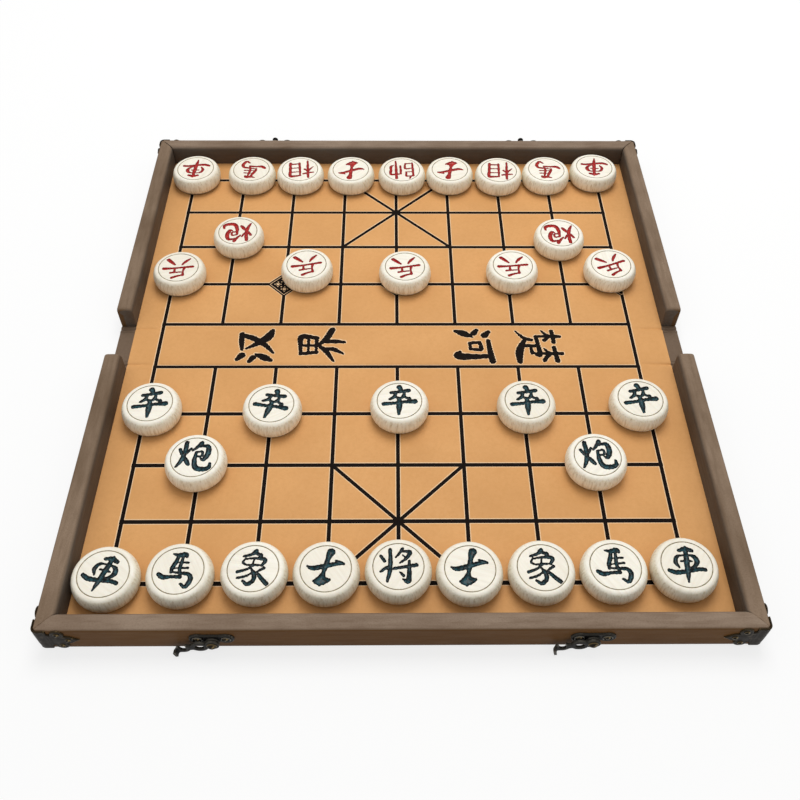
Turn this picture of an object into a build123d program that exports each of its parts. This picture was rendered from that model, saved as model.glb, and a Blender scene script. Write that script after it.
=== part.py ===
from build123d import *
import math
import os

# Folding xiangqi box, lying open and set up for a game. Millimetres, +Z up.
# X runs along the files' spacing, from the left wall to the right wall. Y runs from the near tray (-Y), over
# the spine panel in the middle, to the far tray (+Y). Origin: middle of the spine, on the surface it lies on.

os.makedirs("parts", exist_ok=True)

# ---------------------------------------------------------------- driving dimensions
# playing pieces
piece_diameter = 30.0
piece_height = 10.6
piece_flat_diameter = 26.6      # flat top and bottom, before the edge is rounded
piece_edge_radius = 2.2
piece_ring_diameter = 22.6      # engraved ring on the top
piece_ring_width = 0.5          # side of the square section of its groove, which stands on a corner

# printed field
file_play = 2.5                 # free space between two pieces on neighbouring files
rank_play = 2.0                 # free space between two pieces on neighbouring ranks
river_play = 1.2                # the river is narrower than a rank
side_play = 1.7                 # from a piece on an outer file to the side wall
end_play = 3.5                  # from a piece on an end rank to the end wall
field_shift_left = 1.5          # the print sits a little left of the box's middle
field_shift_away = 0.9          # and a little beyond the middle of the spine
files = 9
ranks_per_side = 5

# layers, from the table up
cover_thickness = 0.6
board_thickness = 2.4
sheet_thickness = 1.0
turn_in_thickness = 0.4         # leatherette turned in over the ends of the spine board
sheet_gap = 0.1                 # between a sheet or board and the walls round it

# walls
headroom = 2.2                  # from a piece's top to the rim
wall_thickness = 8.4
corner_radius = 2.0
rim_radius = 1.5                # padded edge of the rim
end_radius = 2.4                # rounded top of a side wall's end, at the fold

# fold
closing_gap = 0.6               # between the two rims when shut
gutter = 1.8                    # bare hinge leatherette on each side of a fold line

# nails
nail_head_radius = 1.3
nail_head_height = 0.6
nail_shank_radius = 0.5
nail_length = 4.6
shank_clearance = 0.05

# corner guards
guard_thickness = 0.8
guard_foot = 0.5                # from the table to the guard's lower edge
guard_headroom = 0.4            # from the guard's upper edge to the rim
guard_root = 5.5                # full-height part beside the corner
guard_lobe_radius = 2.9
guard_lobe_place = 9.8          # from the corner to the lobes' centres
guard_tip_radius = 2.9
guard_tip_place = 13.4
guard_reach = 18.4              # from the corner to the leaf's point

# latches
latch_spread = 81.0             # from the middle to each latch
plate_thickness = 1.0
latch_lobe_radius = 3.6
latch_lobe_place = 6.05         # from a plate's middle to its nails
latch_plate_height = 9.4        # height of the latch plate's nails
latch_bridge = 5.0              # width of the strip that joins the lobes
latch_bridge_rise = 0.7         # from the nails up to the middle of that strip
pivot_height = 7.2
boss_radius = 3.2
boss_thickness = 0.6
rivet_shank_radius = 1.2
rivet_head_radius = 2.2
rivet_head_height = 1.2
pivot_clearance = 0.08
hook_play = 0.1                 # between the hook and what is behind and before it
catch_lobe_radius = 3.7
catch_lobe_place = 8.2
catch_bridge = 5.8
catch_foot = 0.7                # from the rim down to the catch plate's upper edge
stud_drop = 2.8                 # from the rim down to the stud
stud_radius = 1.15
stud_head_radius = 1.8
stud_head_gap = 0.2             # between the hook and the stud's head
stud_head_edge_radius = 0.6

# hook arm
hook_thickness = 1.2
hook_eye_radius = 3.2
hook_ring_place = 5.6
hook_ring_radius = 3.8
hook_ring_hole = 2.0
hook_neck_width = 3.4
hook_head_radius = 3.0
hook_mouth_clearance = 0.2
hook_mouth_flare = 0.7          # how much wider each side of the mouth is at its opening
finger_width = 3.2
finger_drop = 1.0               # from the arm's centre line down to the finger's
finger_bend = 0.8               # inside radius of the finger's outward curl
finger_rise = 1.1               # straight end of the finger after the curl
finger_gap = 0.3                # hook material between the stud's head and the curl
hook_floor_gap = 0.5            # the open hook's finger almost lies on the table

# ---------------------------------------------------------------- worked out from the driving dimensions
piece_radius = piece_diameter / 2
file_pitch = piece_diameter + file_play
rank_pitch = piece_diameter + rank_play
river_width = piece_diameter + river_play
half_files = (files - 1) / 2

inner_x = half_files * file_pitch + piece_radius + side_play
outer_x = inner_x + wall_thickness
end_rank_y = river_width / 2 + (ranks_per_side - 1) * rank_pitch
inner_y = end_rank_y + piece_radius + end_play
outer_y = inner_y + wall_thickness

board_top = cover_thickness + board_thickness
surface_z = board_top + sheet_thickness
wall_height = piece_height + headroom
rim_z = surface_z + wall_height

fold_y = wall_height + closing_gap / 2          # the two fold lines lie at -fold_y and +fold_y
shut_height = 2 * surface_z + 2 * fold_y        # thickness of the shut box
board_end_y = fold_y + gutter + cover_thickness
wall_end_y = board_end_y + sheet_gap

guard_top = rim_z - guard_headroom
guard_middle = (guard_foot + guard_top) / 2
guard_lobe_offset = (guard_top - guard_foot) / 2 - guard_lobe_radius

stud_z = rim_z - stud_drop
catch_middle_z = rim_z - catch_foot - catch_lobe_radius
hook_back = plate_thickness + boss_thickness + hook_play
hook_front = hook_back + hook_thickness
latch_reach = hook_front + hook_play + rivet_head_height
hook_length = shut_height - stud_z - pivot_height       # from the pivot to the stud when shut
mouth_radius = stud_radius + hook_mouth_clearance
finger_start = hook_length + stud_head_radius + finger_gap
finger_place = finger_start + finger_bend + hook_thickness

# the open hook hangs down until its finger is hook_floor_gap above the table
finger_depth = finger_drop + finger_width / 2
hook_droop = math.degrees(
    math.asin((pivot_height - hook_floor_gap) / math.hypot(finger_place, finger_depth))
    - math.atan2(finger_depth, finger_place)
)

# ---------------------------------------------------------------- where the pieces stand
# name, file counted from the left, rank counted from the near end, and how far the piece stands off its
# point, to the right and away, in shares of the free space between two neighbours
black_pieces = [
    ("chariot_left", 1, 1, 0.2, -0.2),
    ("horse_left", 2, 1, 0.2, 0.5),
    ("elephant_left", 3, 1, 0.3, 1.0),
    ("advisor_left", 4, 1, 0.1, 0.9),
    ("general", 5, 1, -0.1, 1.4),
    ("advisor_right", 6, 1, -0.45, 0.8),
    ("elephant_right", 7, 1, -0.6, 1.0),
    ("horse_right", 8, 1, -0.7, 1.2),
    ("chariot_right", 9, 1, -1.0, 1.6),
    ("cannon_left", 2, 3, -0.25, -1.2),
    ("cannon_right", 8, 3, -0.4, -1.1),
    ("soldier_1", 1, 4, 2.0, -0.6),
    ("soldier_2", 3, 4, 0.5, -1.0),
    ("soldier_3", 5, 4, 0.35, 0.1),
    ("soldier_4", 7, 4, 0.3, 0.0),
    ("soldier_5", 9, 4, -2.6, 0.6),
]
red_pieces = [
    ("chariot_left", 1, 10, 0.9, -0.9),
    ("horse_left", 2, 10, 2.15, -1.3),
    ("elephant_left", 3, 10, 1.5, -1.3),
    ("advisor_left", 4, 10, 1.45, -1.3),
    ("general", 5, 10, 1.5, -1.4),
    ("advisor_right", 6, 10, 0.75, -1.2),
    ("elephant_right", 7, 10, 0.25, -1.7),
    ("horse_right", 8, 10, -0.55, -1.2),
    ("chariot_right", 9, 10, -1.1, 0.2),
    ("cannon_left", 2, 8, 1.2, 1.0),
    ("cannon_right", 8, 8, 0.0, 0.2),
    ("soldier_1", 1, 7, 1.9, 1.4),
    ("soldier_2", 3, 7, 5.2, 2.7),
    ("soldier_3", 5, 7, 1.9, 1.8),
    ("soldier_4", 7, 7, 0.8, 2.3),
    ("soldier_5", 9, 7, -2.4, 2.8),
]


# ---------------------------------------------------------------- helpers
def block(x0, x1, y0, y1, z0, z1):
    """Box between two corners."""
    return Pos((x0 + x1) / 2, (y0 + y1) / 2, (z0 + z1) / 2) * Box(x1 - x0, y1 - y0, z1 - z0)


def mirrored_x(shape):
    """The same shape on the other side, left for right."""
    return mirror(shape, about=Plane.YZ)


def mirrored_y(shape):
    """The same shape on the other tray."""
    return mirror(shape, about=Plane.XZ)


def rounded_plan(x_half, y_outer, y_inner, radius):
    """Plan of a tray from its outer end to its fold side, with its two outer corners rounded."""
    plan = Pos(0, (y_outer + y_inner) / 2) * Rectangle(2 * x_half, abs(y_outer - y_inner))
    outer_end = plan.vertices().sort_by(Axis.Y)[:2]
    return fillet(outer_end, radius)


def keep(name, shape):
    """Write one node's STEP file."""
    export_step(shape, f"parts/{name}.step")


def group(solids):
    """Separate solids kept in one node."""
    return Compound(children=list(solids))


# ---------------------------------------------------------------- fasteners
def nail_at_origin():
    """Domed nail driven along +Z: its head's underside is at z = 0."""
    dome_radius = (nail_head_radius**2 + nail_head_height**2) / (2 * nail_head_height)
    dome = Pos(0, 0, dome_radius - nail_head_height) * Sphere(dome_radius)
    head = dome & Pos(0, 0, -nail_head_height / 2) * Cylinder(nail_head_radius, nail_head_height)
    shank = Pos(0, 0, nail_length / 2) * Cylinder(nail_shank_radius, nail_length)
    return head + shank


# turns +Z into the direction in which a nail is driven: into the end wall, and into the left side wall
INTO_END = Rot(-90, 0, 0)
INTO_SIDE = Rot(0, 90, 0)


def nail_hole_at_origin():
    """Hole for one nail's shank, from in front of the sheet metal to the shank's end."""
    length = nail_length + guard_thickness
    hole = Cylinder(nail_shank_radius + shank_clearance, length)
    return Pos(0, 0, length / 2 - guard_thickness) * hole


def guard_nail_places():
    """Places of the nails of the near left corner guard, as locations on the guard's two faces."""
    spots = [
        (guard_lobe_place, guard_middle + guard_lobe_offset),
        (guard_lobe_place, guard_middle - guard_lobe_offset),
        (guard_tip_place, guard_middle),
    ]
    on_end = [Pos(-outer_x + along, -outer_y - guard_thickness, z) * INTO_END for along, z in spots]
    on_side = [Pos(-outer_x - guard_thickness, -outer_y + along, z) * INTO_SIDE for along, z in spots]
    return on_end + on_side


def plate_nail_places(lobe_place, height):
    """Places of the nails of the left and right plates on a near end wall."""
    return [
        Pos(side * latch_spread + end * lobe_place, -outer_y - plate_thickness, height) * INTO_END
        for side in (-1, 1)
        for end in (-1, 1)
    ]


def guard_nails():
    """Nails of both corner guards of the near tray."""
    left = [place * nail_at_origin() for place in guard_nail_places()]
    return left + [mirrored_x(nail) for nail in left]


def plate_nails(lobe_place, height):
    """Nails of both plates on a near end wall."""
    return [place * nail_at_origin() for place in plate_nail_places(lobe_place, height)]


def wall_holes(lobe_place, height):
    """All nail holes in the near tray's walls."""
    left = [place * nail_hole_at_origin() for place in guard_nail_places()]
    plates = [place * nail_hole_at_origin() for place in plate_nail_places(lobe_place, height)]
    return left + [mirrored_x(hole) for hole in left] + plates


# ---------------------------------------------------------------- trays
def rim():
    """The near tray's three walls in one, open towards the fold."""
    plan = rounded_plan(outer_x, -outer_y, -wall_end_y, corner_radius)
    cavity = Pos(0, -(inner_y + wall_end_y) / 2) * Rectangle(2 * inner_x, inner_y - wall_end_y)
    walls = extrude(Pos(0, 0, cover_thickness) * (plan - cavity), rim_z - cover_thickness)
    wall_ends = walls.faces().sort_by(Axis.Z)[-1].edges().sort_by(Axis.Y)[-2:]
    walls = fillet(wall_ends, end_radius)
    return fillet(walls.faces().filter_by(Axis.Z).sort_by(Axis.Z)[-1].edges(), rim_radius)


def walls_of_tray(lobe_place, height):
    """Front, left and right wall of the near tray, mitred at 45 degrees and drilled for the nails."""
    past = wall_thickness / 2
    mitre = Polygon(
        (-outer_x - past, -outer_y - past),
        (outer_x + past, -outer_y - past),
        (inner_x - past, -inner_y + past),
        (-inner_x + past, -inner_y + past),
        align=None,
    )
    wedge = extrude(mitre, rim_z + past)
    whole = rim() - wall_holes(lobe_place, height)
    sides = (whole - wedge).solids().sort_by(Axis.X)
    return whole & wedge, sides[0], sides[-1]


def tray_cover():
    """Leatherette under the near tray, turned up round the board's end and out over the hinge gutter."""
    plan = rounded_plan(outer_x, -outer_y, -fold_y - gutter, corner_radius)
    bottom = extrude(plan, cover_thickness)
    riser = block(-outer_x, outer_x, -board_end_y, -fold_y - gutter, 0, board_top)
    strip = block(-outer_x, outer_x, -fold_y - gutter, -fold_y, board_top - cover_thickness, board_top)
    lip = block(inner_x, outer_x, -board_end_y, -fold_y, board_top, board_top + turn_in_thickness)
    return bottom + riser + strip + lip + mirrored_x(lip)


def tray_board():
    """Stiff board between the near tray's walls."""
    x = inner_x - sheet_gap
    return block(-x, x, -inner_y + sheet_gap, -board_end_y, cover_thickness, board_top)


def tray_surface():
    """Tan playing surface of the near tray, up to the fold line."""
    x = inner_x - sheet_gap
    return block(-x, x, -inner_y + sheet_gap, -fold_y, board_top, surface_z)


# ---------------------------------------------------------------- spine
def spine_cover():
    """Leatherette of the spine panel: under the board, round its four edges, and out over both gutters."""
    y = fold_y - gutter
    shell = block(-outer_x, outer_x, -y, y, 0, board_top) - spine_board()
    strip = block(-outer_x, outer_x, y, fold_y, board_top - cover_thickness, board_top)
    lip = block(inner_x, outer_x, -fold_y, fold_y, board_top, board_top + turn_in_thickness)
    return shell + strip + mirrored_y(strip) + lip + mirrored_x(lip)


def spine_board():
    """Stiff board inside the spine's leatherette."""
    x = outer_x - cover_thickness
    y = fold_y - gutter - cover_thickness
    return block(-x, x, -y, y, cover_thickness, board_top)


def river_surface():
    """Tan playing surface over the spine, from fold line to fold line."""
    x = inner_x - sheet_gap
    return block(-x, x, -fold_y, fold_y, board_top, surface_z)


# ---------------------------------------------------------------- corner guards
def leaf():
    """Outline of one leaf: along +X from the corner, with +Y up, centred on the guard's height."""
    half = (guard_top - guard_foot) / 2
    root = Pos(guard_root / 2, 0) * Rectangle(guard_root, 2 * half)
    overhang = Pos(-guard_root / 2, 0) * Rectangle(guard_root, 2 * half)
    lobes = Pos(guard_lobe_place, guard_lobe_offset) * Circle(guard_lobe_radius)
    lobes += Pos(guard_lobe_place, -guard_lobe_offset) * Circle(guard_lobe_radius)
    tip = Pos(guard_tip_place, 0) * Circle(guard_tip_radius)
    point = Polygon(
        (guard_tip_place, -guard_tip_radius),
        (guard_reach, 0),
        (guard_tip_place, guard_tip_radius),
        (guard_root, guard_lobe_offset),
        (guard_root, -guard_lobe_offset),
        align=None,
    )
    return root + overhang + lobes + tip + point


def corner_guard():
    """Corner guard of the near tray's left corner: two leaves of sheet metal bent round the corner."""
    depth = 4 * guard_reach
    outside = rounded_plan(outer_x + guard_thickness, -outer_y - guard_thickness, 0,
                           corner_radius + guard_thickness)
    inside = rounded_plan(outer_x, -outer_y, guard_reach, corner_radius)
    near_corner = Pos(-outer_x, -outer_y) * Rectangle(depth, depth)
    sheet = extrude((outside - inside) & near_corner, rim_z)
    end_leaf = Pos(-outer_x, -outer_y + depth / 2, guard_middle) * Rot(90, 0, 0) * extrude(leaf(), depth)
    upright = Rot(0, 0, 90) * Rot(90, 0, 0) * extrude(leaf(), depth)
    side_leaf = Pos(-outer_x - depth / 2, -outer_y, guard_middle) * upright
    guard = sheet & end_leaf & side_leaf
    for place in guard_nail_places():
        guard -= place * nail_hole_at_origin()
    return guard


# ---------------------------------------------------------------- latches
def on_end_wall(x, z, outline, start, thickness):
    """Stand an outline up on the near end wall: its X along the wall, its Y up, its face outwards."""
    plate = extrude(outline, thickness)
    return Pos(x, -outer_y - start, z) * Rot(90, 0, 0) * plate


def latch_plate(x):
    """Plate of a latch: two nailed lobes, the strip between them, and the boss that carries the hook."""
    outline = Pos(0, latch_bridge_rise) * Rectangle(2 * latch_lobe_place, latch_bridge)
    outline += Pos(-latch_lobe_place, 0) * Circle(latch_lobe_radius)
    outline += Pos(latch_lobe_place, 0) * Circle(latch_lobe_radius)
    outline += Pos(0, pivot_height - latch_plate_height) * Circle(boss_radius)
    plate = on_end_wall(x, latch_plate_height, outline, 0, plate_thickness)
    boss = on_end_wall(x, pivot_height, Circle(boss_radius), plate_thickness, boss_thickness)
    pivot_hole = on_end_wall(x, pivot_height, Circle(rivet_shank_radius + shank_clearance), 0, latch_reach)
    plate = plate + boss - pivot_hole
    for place in plate_nail_places(latch_lobe_place, latch_plate_height):
        plate -= place * nail_hole_at_origin()
    return plate


def rivet(x):
    """Rivet that a hook turns on, with a domed head."""
    dome_radius = (rivet_head_radius**2 + rivet_head_height**2) / (2 * rivet_head_height)
    dome = Pos(0, 0, rivet_head_height - dome_radius) * Sphere(dome_radius)
    head = dome & Pos(0, 0, rivet_head_height / 2) * Cylinder(rivet_head_radius, rivet_head_height)
    shank_length = latch_reach - rivet_head_height + nail_length
    shank = Pos(0, 0, -shank_length / 2) * Cylinder(rivet_shank_radius, shank_length)
    return Pos(x, -outer_y - latch_reach + rivet_head_height, pivot_height) * Rot(90, 0, 0) * (head + shank)


def rivet_hole(x):
    """Hole for a rivet's shank in the near end wall."""
    hole = Cylinder(rivet_shank_radius + shank_clearance, 2 * nail_length)
    return Pos(x, -outer_y, pivot_height) * Rot(90, 0, 0) * hole


def hook_outline():
    """Hook arm seen from the front, pivot at the origin and the stud's mouth along -X, open upwards."""
    eye = Circle(hook_eye_radius)
    ring = Pos(-hook_ring_place, 0) * Circle(hook_ring_radius)
    neck = Pos(-hook_length / 2, 0) * Rectangle(hook_length, hook_neck_width)
    head = Pos(-hook_length, 0) * Circle(hook_head_radius)
    tongue = Pos(-(hook_length + finger_start) / 2, -finger_drop)
    tongue *= Rectangle(finger_start - hook_length, finger_width)
    opening = 2 * hook_head_radius
    mouth = Pos(-hook_length, 0) * Circle(mouth_radius)
    mouth += Polygon(
        (-hook_length - mouth_radius, 0),
        (-hook_length + mouth_radius, 0),
        (-hook_length + mouth_radius + hook_mouth_flare, opening),
        (-hook_length - mouth_radius - hook_mouth_flare, opening),
        align=None,
    )
    holes = Circle(rivet_shank_radius + pivot_clearance) + Pos(-hook_ring_place, 0) * Circle(hook_ring_hole)
    return eye + ring + neck + head + tongue - mouth - holes


def hook_finger():
    """Finger pull at the arm's end: the sheet curls outwards through a quarter turn and runs on a little."""
    outer = finger_bend + hook_thickness
    quarter = Circle(outer) - Circle(finger_bend)
    quarter &= Pos(-outer / 2, -outer / 2) * Rectangle(outer, outer)
    end = Pos(-(outer + finger_bend) / 2, finger_rise / 2) * Rectangle(hook_thickness, finger_rise)
    curl = Rot(90, 0, 0) * extrude(quarter + end, finger_width)
    return Pos(-finger_start, -finger_drop + finger_width / 2, outer) * curl


def latch_hook(x):
    """Open hook: it points left and hangs down a little."""
    arm = extrude(hook_outline(), hook_thickness) + hook_finger()
    return Pos(x, -outer_y - hook_back, pivot_height) * Rot(90, 0, 0) * Rot(0, 0, hook_droop) * arm


def catch_plate(x):
    """Catch of a latch, built on the near end wall and mirrored to the far one, with its stud cast on."""
    outline = Rectangle(2 * catch_lobe_place, catch_bridge)
    outline += Pos(-catch_lobe_place, 0) * Circle(catch_lobe_radius)
    outline += Pos(catch_lobe_place, 0) * Circle(catch_lobe_radius)
    plate = on_end_wall(x, catch_middle_z, outline, 0, plate_thickness)
    for place in plate_nail_places(catch_lobe_place, catch_middle_z):
        plate -= place * nail_hole_at_origin()
    head_start = hook_front + stud_head_gap
    shank = on_end_wall(x, stud_z, Circle(stud_radius), plate_thickness, head_start - plate_thickness)
    head = on_end_wall(x, stud_z, Circle(stud_head_radius), head_start, latch_reach - head_start)
    head = fillet(head.edges().sort_by(Axis.Y)[0], stud_head_edge_radius)
    return plate + shank + head


# ---------------------------------------------------------------- playing pieces
def playing_piece():
    """One piece: a disc with a bulging side, rounded edges and an engraved ring on its top."""
    flat = piece_flat_diameter / 2
    outline = [
        Line((0, 0), (flat, 0)),
        ThreePointArc((flat, 0), (piece_radius, piece_height / 2), (flat, piece_height)),
        Line((flat, piece_height), (0, piece_height)),
        Line((0, piece_height), (0, 0)),
    ]
    half_section = make_face(Curve() + outline)
    corners = half_section.vertices().sort_by(Axis.X)[-2:]
    disc = revolve(Plane.XZ * fillet(corners, piece_edge_radius), Axis.Z)
    groove = Pos(piece_ring_diameter / 2, piece_height) * Rot(0, 0, 45) * Rectangle(
        piece_ring_width, piece_ring_width)
    return disc - revolve(Plane.XZ * groove, Axis.Z)


def piece_place(file, rank, right, away):
    """Where a piece stands on the playing surface."""
    x = -field_shift_left + (file - 1 - half_files) * file_pitch + right * file_play
    half_river = river_width / 2
    if rank <= ranks_per_side:
        y = -half_river - (ranks_per_side - rank) * rank_pitch
    else:
        y = half_river + (rank - ranks_per_side - 1) * rank_pitch
    return Pos(x, field_shift_away + y + away * rank_play, surface_z)


# ---------------------------------------------------------------- the whole box
def write_near_tray():
    """Root of the box, with the latches."""
    front, left, right = walls_of_tray(latch_lobe_place, latch_plate_height)
    for x in (-latch_spread, latch_spread):
        front -= rivet_hole(x)
    keep("near_front_wall", front)
    keep("near_left_wall", left)
    keep("near_right_wall", right)
    keep("near_cover", tray_cover())
    keep("near_base_board", tray_board())
    keep("near_playing_surface", tray_surface())
    keep("near_left_corner_guard", corner_guard())
    keep("near_right_corner_guard", mirrored_x(corner_guard()))
    keep("near_nails", group(guard_nails() + plate_nails(latch_lobe_place, latch_plate_height)))
    keep("left_latch_plate", latch_plate(-latch_spread))
    keep("right_latch_plate", latch_plate(latch_spread))
    keep("latch_rivets", group([rivet(-latch_spread), rivet(latch_spread)]))
    keep("left_latch_hook", latch_hook(-latch_spread))
    keep("right_latch_hook", latch_hook(latch_spread))


def write_spine():
    """The panel between the two folds, which becomes the back of the shut box."""
    keep("spine_board", spine_board())
    keep("spine_cover", spine_cover())
    keep("river_surface", river_surface())


def write_far_tray():
    """The far tray is the near one mirrored, with catches in place of latches."""
    back, left, right = walls_of_tray(catch_lobe_place, catch_middle_z)
    nails = guard_nails() + plate_nails(catch_lobe_place, catch_middle_z)
    keep("far_back_wall", mirrored_y(back))
    keep("far_left_wall", mirrored_y(left))
    keep("far_right_wall", mirrored_y(right))
    keep("far_cover", mirrored_y(tray_cover()))
    keep("far_base_board", mirrored_y(tray_board()))
    keep("far_playing_surface", mirrored_y(tray_surface()))
    keep("far_left_corner_guard", mirrored_y(corner_guard()))
    keep("far_right_corner_guard", mirrored_y(mirrored_x(corner_guard())))
    keep("far_nails", group([mirrored_y(nail) for nail in nails]))
    keep("left_catch_plate", mirrored_y(catch_plate(-latch_spread)))
    keep("right_catch_plate", mirrored_y(catch_plate(latch_spread)))


def write_pieces():
    """The thirty-two playing pieces, set up for a game."""
    piece = playing_piece()
    for colour, pieces in (("black", black_pieces), ("red", red_pieces)):
        for name, file, rank, right, away in pieces:
            keep(f"{colour}_{name}", piece_place(file, rank, right, away) * piece)


write_near_tray()
write_spine()
write_far_tray()
write_pieces()
print(f"inner {2 * inner_x:.1f} x {inner_y:.1f}, outer {2 * outer_x:.1f} x {2 * outer_y:.1f}, rim {rim_z:.2f}")
print(f"surface {surface_z:.2f}, fold lines at {fold_y:.2f}, shut height {shut_height:.2f}")
print(f"stud {stud_z:.2f}, hook length {hook_length:.2f}, hook droop {hook_droop:.3f} degrees")
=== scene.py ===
"""Folding xiangqi box, open and set up for a game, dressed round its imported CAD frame.

Every size below is in millimetres, in the frame of the CAD: X to the right, Y away over the fold, Z up, and the
origin in the middle of the spine panel on the table. Meshes are made in millimetres and stored in metres.
"""

import logging
import math
from collections.abc import Callable, Sequence
from dataclasses import dataclass, field
from enum import Enum
from functools import partial

import bmesh
import bpy
import numpy as np
from mathutils import Matrix, Vector
from mathutils.geometry import delaunay_2d_cdt

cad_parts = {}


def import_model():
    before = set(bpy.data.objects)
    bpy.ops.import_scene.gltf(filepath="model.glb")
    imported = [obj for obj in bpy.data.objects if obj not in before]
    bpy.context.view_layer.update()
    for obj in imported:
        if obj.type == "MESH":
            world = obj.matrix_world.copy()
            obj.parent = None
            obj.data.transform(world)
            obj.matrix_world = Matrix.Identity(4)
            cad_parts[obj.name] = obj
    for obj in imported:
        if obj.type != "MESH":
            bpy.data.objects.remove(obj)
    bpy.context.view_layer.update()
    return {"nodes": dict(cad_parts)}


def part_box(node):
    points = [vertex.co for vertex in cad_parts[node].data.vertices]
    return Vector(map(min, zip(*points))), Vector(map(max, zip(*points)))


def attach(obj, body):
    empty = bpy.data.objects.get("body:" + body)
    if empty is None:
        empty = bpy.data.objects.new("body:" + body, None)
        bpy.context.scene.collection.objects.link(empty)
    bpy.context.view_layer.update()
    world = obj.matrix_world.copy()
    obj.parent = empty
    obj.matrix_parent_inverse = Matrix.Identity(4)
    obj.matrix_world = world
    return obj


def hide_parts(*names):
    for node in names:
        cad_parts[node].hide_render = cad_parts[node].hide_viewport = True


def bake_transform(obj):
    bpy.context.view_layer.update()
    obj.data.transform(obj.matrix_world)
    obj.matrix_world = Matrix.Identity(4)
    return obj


log = logging.getLogger("xiangqi_box")

MM = 0.001  # metres in a millimetre
FOLD_Y = 13.1  # from the middle of the spine to each fold
SHEET_Z, SURFACE_Z, RIM_Z = 3.0, 4.0, 16.8  # underside and top of the playing sheet, top of the walls
OUTER_X, OUTER_Y = 155.1, 170.5  # outside of the walls
INNER_X, INNER_Y = 146.7, 162.1  # inside of the walls
WELD, SLIVER = 0.002, 0.001  # points closer than the first are merged, edges shorter than the second dissolved
CRISP = 38.0  # faces that meet at more than this angle, in degrees, keep a crisp edge

Point = tuple[float, float]
Window = tuple[float, float, float, float]
Place = Callable[[np.ndarray], np.ndarray]
PlanField = Callable[[np.ndarray, np.ndarray], np.ndarray]
Inputs = dict[str | int, object]

# kinds of node that the finishes share
PLACE, STRETCH, SPLIT = "ShaderNodeTexCoord", "ShaderNodeMapping", "ShaderNodeSeparateXYZ"
NOISE, SPREAD, MIX = "ShaderNodeTexNoise", "ShaderNodeMapRange", "ShaderNodeMix"
MATH, BUMP, MIX_SHADER = "ShaderNodeMath", "ShaderNodeBump", "ShaderNodeMixShader"


# ------------------------------------------------------------------------------------------------ colour and nodes
def linear(colour: str) -> tuple[float, float, float, float]:
    """Turn an sRGB hex colour into a linear one.

    Args:
        colour: six hex digits after a hash.

    Returns:
        Linear red, green and blue, and an alpha of one.
    """
    shares = [int(colour[i : i + 2], 16) / 255 for i in (1, 3, 5)]
    red, green, blue = (s / 12.92 if s <= 0.04045 else ((s + 0.055) / 1.055) ** 2.4 for s in shares)
    return red, green, blue, 1.0


def add_node(tree: bpy.types.NodeTree, kind: str, inputs: Inputs | None = None, **settings: object) -> bpy.types.Node:
    """Add one node with its settings, its input values and its links.

    Args:
        tree: the node tree that gets it.
        kind: the node's type name.
        inputs: by input name or number, a value, a socket to link from, or a node whose first live output is linked.
        settings: the node's own properties.

    Returns:
        The new node.
    """
    node = tree.nodes.new(kind)
    for name, value in settings.items():
        setattr(node, name, value)
    for socket, value in (inputs or {}).items():
        if isinstance(value, bpy.types.Node):
            value = next(output for output in value.outputs if output.enabled)
        if isinstance(value, bpy.types.NodeSocket):
            tree.links.new(value, node.inputs[socket])
        else:
            node.inputs[socket].default_value = value
    return node


def per_metre(size: float) -> float:
    """Scale of a pattern whose features are this many millimetres apart."""
    return 1 / (size * MM)


@dataclass(frozen=True)
class Wash:
    """A colour laid over another, in a share that follows a pattern.

    Attributes:
        pattern: the node or socket that is followed.
        low: value of the pattern at which the share is the first one.
        high: value at which it is the last one. It is held beyond both.
        colour: the colour laid on.
        first: share at the low value.
        last: share at the high value.
    """

    pattern: bpy.types.Node | bpy.types.NodeSocket
    low: float
    high: float
    colour: str
    first: float = 0.0
    last: float = 1.0


def washed(tree: bpy.types.NodeTree, tone: object, washes: Sequence[Wash]) -> object:
    """Lay washes over a tone, one after the other.

    Args:
        tree: the node tree.
        tone: the linear colour or the node to start from.
        washes: the washes.

    Returns:
        The node that mixes the last of them in.
    """
    for wash in washes:
        share = add_node(tree, SPREAD, {"Value": wash.pattern, 1: wash.low, 2: wash.high, 3: wash.first, 4: wash.last})
        tone = add_node(tree, MIX, {0: share, 6: tone, 7: linear(wash.colour)}, data_type="RGBA")
    return tone


@dataclass(frozen=True)
class Finish:
    """One material: a common name, and the way its surface was made.

    Attributes:
        name: the material's name.
        slot: the record's material slot; not used.
    """

    name: str
    slot: str

    def material(self) -> bpy.types.Material:
        """Return the material, made at its first use.

        Returns:
            The material.
        """
        found = bpy.data.materials.get(self.name)
        if found:
            return found
        made = bpy.data.materials.new(self.name)
        made.use_nodes = True
        tree = made.node_tree
        tree.nodes.clear()
        shader = add_node(tree, "ShaderNodeBsdfPrincipled", self.dress(tree))
        add_node(tree, "ShaderNodeOutputMaterial", {"Surface": shader})
        return made

    def dress(self, tree: bpy.types.NodeTree) -> Inputs:
        """Draw the patterns and return what goes into the shader.

        Args:
            tree: the material's node tree.

        Returns:
            By input name, a value or what is linked to it.
        """
        raise NotImplementedError


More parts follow.
